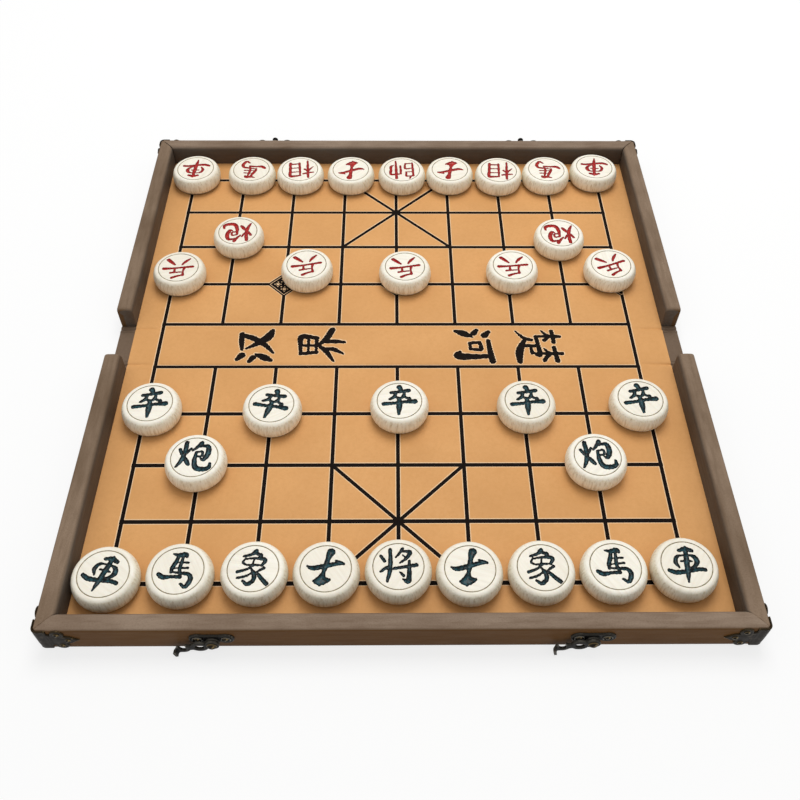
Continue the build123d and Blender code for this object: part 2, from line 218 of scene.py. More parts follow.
@dataclass(frozen=True)
class Leatherette(Finish):
    """PVC leatherette, calendered and embossed with a fine pebble grain, glued over board.

    The plastic skin gives a broad satin shine, and the grain breaks it up. The knit backing shows as slow cloudy
    changes of tone.

    Attributes:
        colour: main colour.
        deep: colour of the darker clouds.
        pebble: distance between pebbles. A real grain of about 0.5 is drawn coarser, so that it shows.
        relief: height of the grain.
        roughness: mean roughness.
        slub: stretch of the fine streaks along X, Y and Z.
        gloss: level of the specular reflection.
        painted_top_sheen: colour of the faces that look up, lighter and greyer as a painted sheen of the light from
            above. Empty where all faces have the main colour.
        painted_inner_shade: colour of the faces that look towards the middle of the box, darker as painted shade. Used
            where the top sheen is painted.
        under: colour of the faces that look down. Used where the top sheen is painted.
    """

    colour: str
    deep: str
    pebble: float = 0.9
    relief: float = 0.05
    roughness: float = 0.5
    slub: tuple[float, float, float] = (1.0, 1.0, 1.0)
    gloss: float = 0.5
    painted_top_sheen: str = ""
    painted_inner_shade: str = ""
    under: str = ""

    def dress(self, tree: bpy.types.NodeTree) -> Inputs:
        """Draw the patterns and return what goes into the shader.

        Args:
            tree: the material's node tree.

        Returns:
            By input name, a value or what is linked to it.
        """
        node = partial(add_node, tree)
        frame = node(PLACE).outputs
        at = frame["Object"]
        streaked = node(STRETCH, {"Vector": at, "Scale": self.slub})
        # the backing's clouds, its yarns, and the grit between pebbles
        clouds = node(NOISE, {"Vector": at, "Scale": per_metre(38), "Detail": 3.0})
        streaks = node(NOISE, {"Vector": streaked, "Scale": per_metre(1.6), "Detail": 3.0})
        fine = node(NOISE, {"Vector": at, "Scale": per_metre(0.45), "Detail": 2.0})
        grain = node("ShaderNodeTexVoronoi", {"Vector": at, "Scale": per_metre(self.pebble)}, feature="SMOOTH_F1")
        washes = [Wash(clouds, 0.35, 0.7, self.deep, 0.0, 0.5), Wash(streaks, 0.4, 0.75, self.deep, 0.0, 0.28),
                  Wash(fine, 0.45, 0.75, self.deep, 0.0, 0.3)]
        # faces that look up turn lighter and greyer: a painted sheen. Faces that look down keep the plain skin colour
        if self.painted_top_sheen:
            outward = node("ShaderNodeVectorMath", {0: frame["Normal"], 1: at}, operation="DOT_PRODUCT")
            upward = node(SPLIT, {0: frame["Normal"]}).outputs["Z"]
            # faces that look towards the middle turn darker: painted shade
            washes = [Wash(outward, -8 * MM, -1 * MM, self.painted_inner_shade, 1.0, 0.0),
                      Wash(upward, -0.9, -0.35, self.under, 1.0, 0.0), Wash(upward, 0.35, 0.9, self.painted_top_sheen), *washes]
        tone = washed(tree, linear(self.colour), washes)
        roughness = node(SPREAD, {"Value": streaks, 1: 0.3, 2: 0.7, 3: self.roughness - 0.06, 4: self.roughness + 0.06})
        height = node(MATH, {0: grain, 1: fine}, operation="ADD")
        relief = node(BUMP, {"Strength": 0.55, "Distance": self.relief * MM, "Height": height})
        return {"Base Color": tone, "Roughness": roughness, "Normal": relief, "IOR": 1.53,
                "Specular IOR Level": self.gloss}


@dataclass(frozen=True)
class PressedPrint(Finish):
    """Foil or ink pressed hot into the leatherette: denser and a little smoother than the skin round it.

    Attributes:
        colour: colour of the print.
        worn: colour where it is thin.
        roughness: mean roughness.
    """

    colour: str
    worn: str
    roughness: float = 0.45

    def dress(self, tree: bpy.types.NodeTree) -> Inputs:
        """Draw the patterns and return what goes into the shader.

        Args:
            tree: the material's node tree.

        Returns:
            By input name, a value or what is linked to it.
        """
        node = partial(add_node, tree)
        at = node(PLACE).outputs["Object"]
        thin = node(NOISE, {"Vector": at, "Scale": per_metre(1.8), "Detail": 4.0})
        tone = washed(tree, linear(self.colour), [Wash(thin, 0.55, 0.78, self.worn)])
        roughness = node(SPREAD, {"Value": thin, 1: 0.3, 2: 0.7, 3: self.roughness - 0.08, 4: self.roughness + 0.1})
        relief = node(BUMP, {"Strength": 0.3, "Distance": 0.04 * MM, "Height": thin})
        return {"Base Color": tone, "Roughness": roughness, "Normal": relief, "IOR": 1.5, "Specular IOR Level": 0.08}


@dataclass(frozen=True)
class TurnedWood(Finish):
    """Pale close-grained wood, such as hornbeam or maple, turned, sanded and waxed.

    The side shows long fine pores as upright streaks, and the flat top shows faint slanting bands.

    Attributes:
        pale: colour of the top.
        cream: colour of the side.
        pore: colour of the streaks.
        foot: colour of the lower edge, a painted contact shade where the piece stands on the field.
        height: height of a piece, where the top's colour takes over.
    """

    pale: str
    cream: str
    pore: str
    foot: str = "#4A3626"
    height: float = 10.6

    def dress(self, tree: bpy.types.NodeTree) -> Inputs:
        """Draw the patterns and return what goes into the shader.

        Args:
            tree: the material's node tree.

        Returns:
            By input name, a value or what is linked to it.
        """
        node = partial(add_node, tree)
        at = node("ShaderNodeAttribute", attribute_name="wood_place").outputs["Vector"]
        upright = node(STRETCH, {"Vector": at, "Scale": (1, 1, 0.09)})
        lengthwise = node(STRETCH, {"Vector": at, "Scale": (0.07, 1, 0.3)})
        # pores and bands are some times wider than in real hornbeam, so that they show
        pores = node(NOISE, {"Vector": upright, "Scale": per_metre(0.9), "Detail": 4.0, "Roughness": 0.62})
        broad = node(NOISE, {"Vector": upright, "Scale": per_metre(5.0), "Detail": 2.0})
        bands = node(NOISE, {"Vector": lengthwise, "Scale": per_metre(1.5), "Detail": 3.0})
        plank = node(NOISE, {"Vector": at, "Scale": per_metre(160), "Detail": 1.0})
        level = node(SPLIT, {0: node(PLACE).outputs["Object"]}).outputs["Z"]
        # pores grow darker towards the bottom of the side: painted shade
        low_down = node(SPREAD, {"Value": level, 1: 0.2 * MM, 2: 5.5 * MM, 3: 1.0, 4: 0.0})
        porous = node(SPREAD, {"Value": pores, 1: 0.38, 2: 0.62, 3: 0.1, 4: 0.65})
        darker = node(MATH, {0: low_down, 1: porous}, operation="MULTIPLY")
        side = washed(tree, linear(self.cream), [Wash(pores, 0.47, 0.72, self.pore, 0.0, 0.7),
                                                 Wash(broad, 0.35, 0.7, self.pore, 0.0, 0.2),
                                                 Wash(darker, 0.0, 1.0, self.pore)])
        top = washed(tree, linear(self.pale), [Wash(bands, 0.42, 0.75, self.pore, 0.0, 0.2)])
        on_top = node(SPREAD, {"Value": level, 1: (self.height - 1.2) * MM, 2: (self.height - 0.1) * MM})
        body = node(MIX, {0: on_top, 6: side, 7: top}, data_type="RGBA")
        # the plank's slow tone, then the painted contact shade along the foot
        tone = washed(tree, body, [Wash(plank, 0.35, 0.65, self.pore, 0.0, 0.16),
                                   Wash(level, 1.1 * MM, 2.3 * MM, self.foot, 0.75, 0.0)])
        roughness = node(SPREAD, {"Value": pores, 1: 0.3, 2: 0.7, 3: 0.42, 4: 0.56})
        relief = node(BUMP, {"Strength": 0.35, "Distance": 0.05 * MM, "Height": pores})
        return {"Base Color": tone, "Roughness": roughness, "Normal": relief, "IOR": 1.47, "Subsurface Weight": 0.06,
                "Subsurface Radius": (0.9 * MM, 0.6 * MM, 0.35 * MM), "Subsurface Scale": 1.0}


@dataclass(frozen=True)
class CarvedPaint(Finish):
    """Enamel brushed into the carved strokes, glossy: dark along the cut's edges, with a brighter painted highlight in
    patches deep in the cut.

    Attributes:
        colour: colour along the edges.
        painted_highlight: colour of the painted highlight in the bottom of the cut.
        deep: how far below the top the painted highlight is full.
        shore: how far below the top it begins.
        height: height of a piece.
        gloss: level of the specular reflection.
    """

    colour: str
    painted_highlight: str
    deep: float = 0.58
    shore: float = 0.28
    height: float = 10.6
    gloss: float = 0.4

    def dress(self, tree: bpy.types.NodeTree) -> Inputs:
        """Draw the patterns and return what goes into the shader.

        Args:
            tree: the material's node tree.

        Returns:
            By input name, a value or what is linked to it.
        """
        node = partial(add_node, tree)
        at = node(PLACE).outputs["Object"]
        enamel_patches = node(NOISE, {"Vector": at, "Scale": per_metre(1.3), "Detail": 3.0})
        level = node(SPLIT, {0: at}).outputs["Z"]
        # deeper in the cut, in patches, the colour turns to the painted highlight
        low = node(SPREAD, {"Value": level, 1: (self.height - self.deep) * MM, 2: (self.height - self.shore) * MM,
                            3: 1.0, 4: 0.0})
        patchy = node(SPREAD, {"Value": enamel_patches, 1: 0.35, 2: 0.65})
        share = node(MATH, {0: low, 1: patchy}, operation="MULTIPLY")
        tone = washed(tree, linear(self.colour), [Wash(share, 0.0, 1.0, self.painted_highlight)])
        roughness = node(SPREAD, {"Value": enamel_patches, 1: 0.3, 2: 0.7, 3: 0.16, 4: 0.34})
        relief = node(BUMP, {"Strength": 0.4, "Distance": 0.08 * MM, "Height": enamel_patches})
        return {"Base Color": tone, "Roughness": roughness, "Normal": relief, "IOR": 1.5,
                "Specular IOR Level": self.gloss}


@dataclass(frozen=True)
class CutWood(Finish):
    """Bare wood in the turned ring: rough, and darkened by the tool and by dust.

    Attributes:
        colour: main colour.
        deep: colour of the dust.
    """

    colour: str
    deep: str

    def dress(self, tree: bpy.types.NodeTree) -> Inputs:
        """Draw the patterns and return what goes into the shader.

        Args:
            tree: the material's node tree.

        Returns:
            By input name, a value or what is linked to it.
        """
        dust = add_node(tree, NOISE, {"Vector": add_node(tree, PLACE).outputs["Object"], "Scale": per_metre(1.1),
                                      "Detail": 4.0})
        tone = washed(tree, linear(self.colour), [Wash(dust, 0.35, 0.65, self.deep)])
        return {"Base Color": tone, "Roughness": 0.7, "IOR": 1.47}


@dataclass(frozen=True)
class AntiqueMetal(Finish):
    """Stamped steel, bronze plated, blackened and worn back by rubbing: dark in the hollows, bright in worn patches and
    along raised edges, where the brightness is partly wear and partly a painted highlight.

    The blackened skin is an oxide, so only the worn parts shine as bare metal.

    Attributes:
        dark: colour of the blackened skin.
        worn_and_glint: colour of the worn metal in patches and along raised edges, where it is also a painted
            highlight.
        shine: share of the surface that is worn back in patches.
    """

    dark: str
    worn_and_glint: str
    shine: float = 0.3

    def dress(self, tree: bpy.types.NodeTree) -> Inputs:
        """Draw the patterns and return what goes into the shader.

        Args:
            tree: the material's node tree.

        Returns:
            By input name, a value or what is linked to it.
        """
        node = partial(add_node, tree)
        at = node(PLACE).outputs["Object"]
        # unevenness of the plating and of the rubbing
        cast = node(NOISE, {"Vector": at, "Scale": per_metre(1.4), "Detail": 4.0})
        rub = node(NOISE, {"Vector": at, "Scale": per_metre(3.0), "Detail": 3.0})
        patches = node(SPREAD, {"Value": rub, 1: 0.62 - 0.3 * self.shine, 2: 0.8 - 0.3 * self.shine, 4: 0.6})
        # raised edges take the worn colour: partly wear, partly a painted highlight
        raised = node(SPREAD, {"Value": node("ShaderNodeNewGeometry").outputs["Pointiness"], 1: 0.525, 2: 0.6})
        share = node(MATH, {0: patches, 1: raised}, operation="MAXIMUM")
        tone = washed(tree, linear(self.dark), [Wash(share, 0.0, 1.0, self.worn_and_glint)])
        roughness = node(SPREAD, {"Value": share, 3: 0.5, 4: 0.26})
        relief = node(BUMP, {"Strength": 0.5, "Distance": 0.08 * MM, "Height": cast})
        metallic = node(SPREAD, {"Value": share, 3: 0.15, 4: 1.0})
        return {"Base Color": tone, "Roughness": roughness, "Normal": relief, "Metallic": metallic,
                "Specular IOR Level": 0.1}


@dataclass(frozen=True)
class GreyBoard(Finish):
    """Greyboard, pressed from waste paper: matt, with fibres and specks.

    Attributes:
        colour: main colour.
        speck: colour of the fibres.
    """

    colour: str
    speck: str

    def dress(self, tree: bpy.types.NodeTree) -> Inputs:
        """Draw the patterns and return what goes into the shader.

        Args:
            tree: the material's node tree.

        Returns:
            By input name, a value or what is linked to it.
        """
        # bundles of fibres, coarser than a single fibre, so that they show
        fibres = add_node(tree, NOISE, {"Vector": add_node(tree, PLACE).outputs["Object"], "Scale": per_metre(1.2),
                                        "Detail": 6.0})
        tone = washed(tree, linear(self.colour), [Wash(fibres, 0.5, 0.7, self.speck)])
        relief = add_node(tree, BUMP, {"Strength": 0.4, "Distance": 0.05 * MM, "Height": fibres})
        return {"Base Color": tone, "Roughness": 0.92, "Normal": relief, "IOR": 1.47}


# under the trays and over the folds: an even dull brown with a fine grain
BROWN_SKIN = Leatherette("leatherette_brown_embossed", "brown_leatherette", "#74604E", "#5F4D3D", gloss=0.12)
# round the walls, streaked along each: deep warm brown outside, with a painted grey sheen on the rim's top and painted
# shade on the faces towards the middle
BROWN_ALONG_X = Leatherette("leatherette_brown_walls_along_x", "brown_leatherette", "#61411D", "#523822", gloss=0.05,
                            painted_top_sheen="#968371", painted_inner_shade="#5E564E", under="#74604E", slub=(0.12, 1.0, 1.0))
BROWN_ALONG_Y = Leatherette("leatherette_brown_walls_along_y", "brown_leatherette", "#5C4021", "#4F3A25", gloss=0.05,
                            painted_top_sheen="#8F7A66", painted_inner_shade="#5E564E", under="#74604E", slub=(1.0, 0.12, 1.0))
# the playing field: warm tan, nearly matt, in soft clouds
TAN_SKIN = Leatherette("leatherette_tan_embossed", "tan_leatherette", "#E0A76A", "#CB9358", pebble=0.8, relief=0.03,
                       roughness=0.58, gloss=0.14)
# the print: dull black, a little brown where it is thin
BLACK_PRINT = PressedPrint("print_black_hot_pressed", "tan_leatherette", "#0C0502", "#1F110A", roughness=0.7)
# the skin that the press smoothed: a thin pale edge along the print, partly burnished and partly a painted highlight
PRINT_EDGE = PressedPrint("leatherette_tan_burnished_highlight", "tan_leatherette", "#F2CDA2", "#EABD8C")
# the pieces: pale cream with grey-brown streaks down the side
PALE_WOOD = TurnedWood("hornbeam_turned_waxed", "pale_wood", "#F9F4E6", "#F9F3E0", "#BEA87F")
# the ring cut into each: a thin drab line
RING_WOOD = CutWood("hornbeam_cut_dusty", "pale_wood", "#BDB196", "#8F8265")
# the carving of either side: black with a blue-green painted highlight in the cut, and deep red with a brighter red
# painted highlight
BLACK_ENAMEL = CarvedPaint("enamel_black_green_brushed", "pale_wood", "#030505", "#1C4E57", gloss=0.16)
RED_ENAMEL = CarvedPaint("enamel_red_brushed", "pale_wood", "#8E100E", "#C52A20", gloss=0.16)
# corner guards: dark brown with warm worn metal along the bead, partly a painted highlight
BRONZE = AntiqueMetal("steel_bronzed_aged", "antique_bronze", "#1B150D", "#4A3D28", shine=0.22)
# latches: nearly black with cold grey worn metal at the edges, partly a painted highlight
BLACKENED = AntiqueMetal("steel_bronzed_blackened", "antique_bronze", "#090707", "#5A564E", shine=0.0)
# nails and rivets: dark with a brassy top, partly worn metal and partly a painted highlight
BRASSY = AntiqueMetal("steel_bronzed_rubbed", "antique_bronze", "#17120C", "#66573C", shine=0.1)
# cores of the trays and the spine: flat grey, seen only at a cut edge
BOARD = GreyBoard("greyboard_pressed", "greyboard", "#8E8A80", "#6B675E")


# ------------------------------------------------------------------------------------------------ meshes
@dataclass
class Shape:
    """A mesh under construction, in millimetres.

    Attributes:
        points: vertices.
        faces: vertex numbers of each face.
        looks: number of each face's finish.
    """

    points: list[Sequence[float]] = field(default_factory=list)
    faces: list[Sequence[int]] = field(default_factory=list)
    looks: list[int] = field(default_factory=list)

    def add(self, points: Sequence[Sequence[float]], faces: Sequence[Sequence[int]],
            looks: Sequence[int] | int = 0) -> None:
        """Add points and the faces between them.

        Args:
            points: vertices.
            faces: vertex numbers, counted from the first of these points.
            looks: number of the finish, one for all faces or one for each.
        """
        first = len(self.points)
        self.points.extend(points)
        self.faces.extend([first + v for v in face] for face in faces)
        self.looks.extend([looks] * len(faces) if isinstance(looks, int) else looks)

    def join(self, other: "Shape") -> "Shape":
        """Add another shape to this one, and return this one."""
        self.add(other.points, other.faces, other.looks)
        return self

    def moved(self, place: Place) -> "Shape":
        """Return the shape with its points put through a placing function."""
        points = place(np.array(self.points, float))
        return Shape([tuple(p) for p in points], list(self.faces), list(self.looks))

    def stored(self, name: str, finishes: Sequence[Finish], centre: Sequence[float] = (0, 0, 0)) -> bpy.types.Object:
        """Store the shape as a Blender object.

        Args:
            name: the object's name.
            finishes: the finishes that the looks number.
            centre: where the object's own origin stands.

        Returns:
            The object, in metres, with its faces turned outwards.
        """
        mesh = bpy.data.meshes.new(name)
        mesh.from_pydata([tuple(c * MM for c in p) for p in self.points], [], self.faces)
        for finish in finishes:
            mesh.materials.append(finish.material())
        mesh.polygons.foreach_set("material_index", self.looks)
        work = bmesh.new()
        work.from_mesh(mesh)
        bmesh.ops.remove_doubles(work, verts=work.verts, dist=WELD * MM)
        bmesh.ops.dissolve_degenerate(work, edges=work.edges, dist=SLIVER * MM)
        bmesh.ops.recalc_face_normals(work, faces=work.faces)
        for face in work.faces:
            face.smooth = True
        work.to_mesh(mesh)
        work.free()
        mesh.set_sharp_from_angle(angle=math.radians(CRISP))
        thing = bpy.data.objects.new(name, mesh)
        thing.location = [c * MM for c in centre]
        bpy.context.scene.collection.objects.link(thing)
        return thing

    def fitted(self, name: str, finish: Finish, body: str, node: str) -> bpy.types.Object:
        """Store the shape as an object of one finish that rides on a body in place of a CAD node.

        Args:
            name: the object's name.
            finish: its finish.
            body: the body that it rides on.
            node: the CAD node that it stands for.

        Returns:
            The object.
        """
        thing = self.stored(name, [finish])
        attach(thing, body)
        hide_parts(node)
        return thing


def stay(points: np.ndarray) -> np.ndarray:
    """Leave points where they are."""
    return points


def mirror_x(points: np.ndarray) -> np.ndarray:
    """Swap left and right."""
    return points * np.array([-1.0, 1.0, 1.0])


def mirror_y(points: np.ndarray) -> np.ndarray:
    """Swap the near and the far tray."""
    return points * np.array([1.0, -1.0, 1.0])


SIDES = (("left", stay), ("right", mirror_x))
TRAYS = (("near", stay), ("far", mirror_y))


def folded(thing: bpy.types.Object) -> None:
    """Bake an object's place into its mesh; it is not bent across the fold between a tray and the spine.

    Args:
        thing: the object.
    """
    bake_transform(thing)


def swept(sections: Sequence[Sequence[Sequence[float]]]) -> Shape:
    """Join closed outlines of equal count into one bar, with its two ends closed.

    Args:
        sections: the outlines, each a list of 3-D points.

    Returns:
        The bar.
    """
    shape = Shape()
    count = len(sections[0])
    points = [point for section in sections for point in section]
    faces = []
    for row in range(len(sections) - 1):
        for k in range(count):
            a, b = row * count + k, row * count + (k + 1) % count
            faces.append((a, b, b + count, a + count))
    faces.append(tuple(range(count)))
    faces.append(tuple((len(sections) - 1) * count + k for k in reversed(range(count))))
    shape.add(points, faces)
    return shape


def turned(profile: Sequence[Point], segments: int, looks: Sequence[int] | None = None,
           open_end: bool = False) -> Shape:
    """Turn a profile round the Z axis.

    Args:
        profile: radius and height of each point. A radius of nought closes the form.
        segments: number of steps round the axis.
        looks: number of the finish of each band between two points.
        open_end: whether the last point is left without a cap.

    Returns:
        The turned form.
    """
    shape = Shape()
    rings = []
    points: list[Sequence[float]] = []
    for radius, height in profile:
        if radius <= 0:
            rings.append([len(points)])
            points.append((0.0, 0.0, height))
            continue
        rings.append(list(range(len(points), len(points) + segments)))
        points += [(radius * math.cos(math.tau * k / segments), radius * math.sin(math.tau * k / segments), height)
                   for k in range(segments)]
    faces: list[Sequence[int]] = []
    numbers: list[int] = []
    for band, (low, high) in enumerate(zip(rings, rings[1:])):
        for k in range(segments):
            n = (k + 1) % segments
            if len(low) == 1:
                faces.append((low[0], high[n], high[k]))
            elif len(high) == 1:
                faces.append((low[k], low[n], high[0]))
            else:
                faces.append((low[k], low[n], high[n], high[k]))
            numbers.append(looks[band] if looks else 0)
    if not open_end and len(rings[-1]) > 1:
        faces.append(tuple(rings[-1]))
        numbers.append(looks[-1] if looks else 0)
    shape.add(points, faces, numbers)
    return shape


def heading(start: Point, end: Point) -> tuple[float, float, float]:
    """Length from one point to another, and the direction there."""
    length = math.dist(start, end)
    return length, (end[0] - start[0]) / length, (end[1] - start[1]) / length


def arc(centre: Point, radius: float, start: float, end: float, steps: int) -> list[Point]:
    """Points of an arc, from one angle to another in degrees."""
    angles = [math.radians(start + (end - start) * k / steps) for k in range(steps + 1)]
    return [(centre[0] + radius * math.cos(a), centre[1] + radius * math.sin(a)) for a in angles]


# ------------------------------------------------------------------------------------------------ plan outlines
CURVE_STEPS = 5  # steps of a curve between two of the points that it passes through


def smooth_line(points: np.ndarray) -> np.ndarray:
    """Run a smooth curve through points of any number of columns.

    Args:
        points: rows to pass through.

    Returns:
        The rows of the curve.
    """
    if len(points) < 3:
        return points
    ends = np.vstack([2 * points[0] - points[1], points, 2 * points[-1] - points[-2]])
    rows = []
    for a, b, c, d in zip(ends, ends[1:], ends[2:], ends[3:]):
        for t in np.arange(CURVE_STEPS) / CURVE_STEPS:
            rows.append(0.5 * (2 * b + (c - a) * t + (2 * a - 5 * b + 4 * c - d) * t**2
                               + (3 * b - a - 3 * c + d) * t**3))
    rows.append(points[-1])
    return np.array(rows)


def stroke_field(line: np.ndarray) -> PlanField:
    """Depth inside one brush stroke.

    Args:
        line: place and half width of each point along it.

    Returns:
        A function of the plan that is positive inside the stroke.
    """
    def depth(x: np.ndarray, y: np.ndarray) -> np.ndarray:
        """Depth inside the thickest reach of the stroke.

        Args:
            x: X of the places.
            y: Y of the places.

        Returns:
            Their depth.
        """
        best = np.full(np.shape(x), -1e6)
        for (ax, ay, ar), (bx, by, br) in zip(line, line[1:]):
            dx, dy = bx - ax, by - ay
            share = np.clip(((x - ax) * dx + (y - ay) * dy) / max(dx * dx + dy * dy, 1e-9), 0, 1)
            reach = ar + (br - ar) * share - np.hypot(x - ax - share * dx, y - ay - share * dy)
            best = np.maximum(best, reach)
        return best

    return depth


def box_field(x0: float, x1: float, y0: float, y1: float) -> PlanField:
    """Depth inside an upright rectangle."""
    return lambda x, y: np.minimum(np.minimum(x - x0, x1 - x), np.minimum(y - y0, y1 - y))


def square_field(half: float) -> PlanField:
    """Depth inside a square round the origin."""
    return box_field(-half, half, -half, half)


def disc_field(cx: float, cy: float, radius: float) -> PlanField:
    """Depth inside a circle."""
    return lambda x, y: radius - np.hypot(x - cx, y - cy)


def wedge_field(corners: Sequence[Point]) -> PlanField:
    """Depth inside a convex polygon whose corners run counter-clockwise.

    Args:
        corners: the corners.

    Returns:
        A function of the plan that is positive inside the polygon.
    """
    def depth(x: np.ndarray, y: np.ndarray) -> np.ndarray:
        """Depth from the nearest side.

        Args:
            x: X of the places.
            y: Y of the places.

        Returns:
            Their depth.
        """
        best = np.full(np.shape(x), 1e6)
        for (ax, ay), (bx, by) in zip(corners, [*corners[1:], corners[0]]):
            length = math.hypot(bx - ax, by - ay)
            best = np.minimum(best, ((bx - ax) * (y - ay) - (by - ay) * (x - ax)) / length)
        return best

    return depth


def joined(fields: Sequence[PlanField], softness: float) -> PlanField:
    """Depth inside several outlines at once, with soft inner corners.

    Args:
        fields: the outlines.
        softness: rough radius of the corners between them.

    Returns:
        The joint outline.
    """
    return lambda x, y: np.logaddexp.reduce([one(x, y) / softness for one in fields]) * softness


def without(outline: PlanField, holes: Sequence[PlanField]) -> PlanField:
    """Depth inside an outline outside its holes."""
    return lambda x, y: np.minimum.reduce([outline(x, y), *[-hole(x, y) for hole in holes]])


Edges = list[tuple[int, int]]


def contour(outline: PlanField, window: Window, pitch: float, level: float) -> tuple[list[Point], Edges]:
    """Find the line on which an outline's depth has one value.

    Args:
        outline: the outline.
        window: lowest and highest X and Y to search.
        pitch: step of the search.
        level: the depth.

    Returns:
        Points on the line, and the edges between them.
    """
    x0, x1, y0, y1 = window
    xs, ys = np.arange(x0, x1 + pitch, pitch), np.arange(y0, y1 + pitch, pitch)
    grid_x, grid_y = np.meshgrid(xs, ys, indexing="ij")
    depth = outline(grid_x, grid_y) - level
    inside = depth > 0
    corner_sum = inside[:-1, :-1].astype(int) + inside[1:, :-1] + inside[1:, 1:] + inside[:-1, 1:]
    numbers: dict[tuple[tuple[int, int], tuple[int, int]], int] = {}
    points: list[Point] = []

    def crossing(a: tuple[int, int], b: tuple[int, int]) -> int:
        """Find or make the point at which the line crosses one edge of the grid.

        Args:
            a: grid place on one side of the line.
            b: its neighbour on the other side.

        Returns:
            Number of the point between them.
        """
        key = (min(a, b), max(a, b))
        if key not in numbers:
            (i, j), (k, m) = key
            share = float(np.clip(depth[i, j] / (depth[i, j] - depth[k, m]), 0.06, 0.94))
            numbers[key] = len(points)
            points.append((xs[i] + (xs[k] - xs[i]) * share, ys[j] + (ys[m] - ys[j]) * share))
        return numbers[key]

    edges: Edges = []
    for i, j in np.argwhere((corner_sum > 0) & (corner_sum < 4)):
        corners = [(i, j), (i + 1, j), (i + 1, j + 1), (i, j + 1)]
        corners = [(int(a), int(b)) for a, b in corners]
        hits = [crossing(a, b) for a, b in zip(corners, corners[1:] + corners[:1]) if inside[a] != inside[b]]
        edges += [(hits[k], hits[k + 1]) for k in range(0, len(hits), 2)]
    return points, edges


@dataclass
class Plan:
    """Points and edges of a flat drawing that is cut into triangles.

    Attributes:
        points: places in the plan.
        edges: lines that the triangles keep.
    """

    points: list[Point] = field(default_factory=list)
    edges: Edges = field(default_factory=list)

    def draw(self, points: Sequence[Point], edges: Edges) -> None:
        """Add points and the edges between them.

        Args:
            points: the points.
            edges: pairs of numbers, counted from the first of these points.
        """
        first = len(self.points)
        self.points += list(points)
        self.edges += [(first + a, first + b) for a, b in edges]

    def loop(self, points: Sequence[Point]) -> None:
        """Add a closed line."""
        self.draw(points, [(k, (k + 1) % len(points)) for k in range(len(points))])

    def dots(self, points: Sequence[Point]) -> None:
        """Add loose points."""
        self.points += list(points)

    def triangles(self) -> tuple[np.ndarray, np.ndarray]:
        """Cut the drawing into triangles.

        Returns:
            Places of the vertices, and the vertex numbers of each triangle.
        """
        found = delaunay_2d_cdt([Vector(p) for p in self.points], self.edges, [], 0, 1e-5, False)
        return np.array([tuple(v) for v in found[0]]), np.array([tuple(f) for f in found[2]])


def inner_dots(outline: PlanField, window: Window, pitch: float, least: float) -> list[Point]:
    """Points of a grid that lie at least this deep inside an outline.

    Args:
        outline: the outline.
        window: lowest and highest X and Y of the grid.
        pitch: step of the grid.
        least: the least depth.

    Returns:
        The points.
    """
    x0, x1, y0, y1 = window
    grid_x, grid_y = np.meshgrid(np.arange(x0, x1, pitch), np.arange(y0, y1, pitch), indexing="ij")
    keep = outline(grid_x, grid_y) > least
    return list(zip(grid_x[keep].tolist(), grid_y[keep].tolist()))


def slab(places: np.ndarray, heights: np.ndarray, back: float, triangles: np.ndarray, looks: Sequence[int]) -> Shape:
    """Close a face of triangles into a slab with a flat back.

    Args:
        places: plan of all vertices.
        heights: their heights.
        back: height of the back.
        triangles: the face's triangles, which may leave some of the vertices out.
        looks: number of the finish of each. The back and the rim have the first finish.

    Returns:
        The slab.
    """
    numbers, inverse = np.unique(triangles, return_inverse=True)
    faces = inverse.reshape(-1, 3).tolist()
    count = len(numbers)
    used = dict.fromkeys(edge for a, b, c in faces for edge in ((a, b), (b, c), (c, a)))
    rims = [[b, a, count + a, count + b] for a, b in used if (b, a) not in used]
    plan = places[numbers].tolist()
    shape = Shape()
    shape.add([(*p, h) for p, h in zip(plan, heights[numbers].tolist())] + [(*p, back) for p in plan],
              faces + [[count + v for v in reversed(f)] for f in faces] + rims,
              [int(n) for n in looks] + [0] * (len(faces) + len(rims)))
    return shape


def plate(outline: PlanField, window: Window, front: Callable[[np.ndarray], np.ndarray], back: float, pitch: float,
          levels: Sequence[float]) -> Shape:
    """Make a stamped plate from its outline.

    Args:
        outline: the plate's plan.
        window: lowest and highest X and Y of the plan.
        front: height of the front face, from the depth inside the outline.
        back: height of the back face.
        pitch: step of the outline.
        levels: depths at which the front face gets lines of its own.

    Returns:
        A closed plate whose third coordinate is its height.
    """
    drawing = Plan()
    for level in levels:
        drawing.draw(*contour(outline, window, pitch, level))
    drawing.dots(inner_dots(outline, window, 3 * pitch, levels[-1] + pitch))
    places, triangles = drawing.triangles()
    middles = places[triangles].mean(axis=1)
    triangles = triangles[outline(middles[:, 0], middles[:, 1]) > 0]
    heights = front(np.maximum(outline(places[:, 0], places[:, 1]), 0))
    return slab(places, heights, back, triangles, [0] * len(triangles))


def pillow(thickness: float, edge: float) -> Callable[[np.ndarray], np.ndarray]:
    """Height of a plate's front, rounded over at its edge.

    Args:
        thickness: height inside the rounded edge.
        edge: radius of the edge.

    Returns:
        The height as a function of the depth inside the outline.
    """
    def height(depth: np.ndarray) -> np.ndarray:
        """Height at some depths."""
        near = np.clip(edge - depth, 0, edge)
        return thickness - edge + np.sqrt(np.maximum(edge**2 - near**2, 0))

    return height


# ------------------------------------------------------------------------------------------------ brush writing
BRUSH, CONTRAST = 7.0, 0.6  # the brush's even width, and the power to which a stroke thickens or thins from it
CORNER = 0.1  # rough radius of the corners where strokes meet


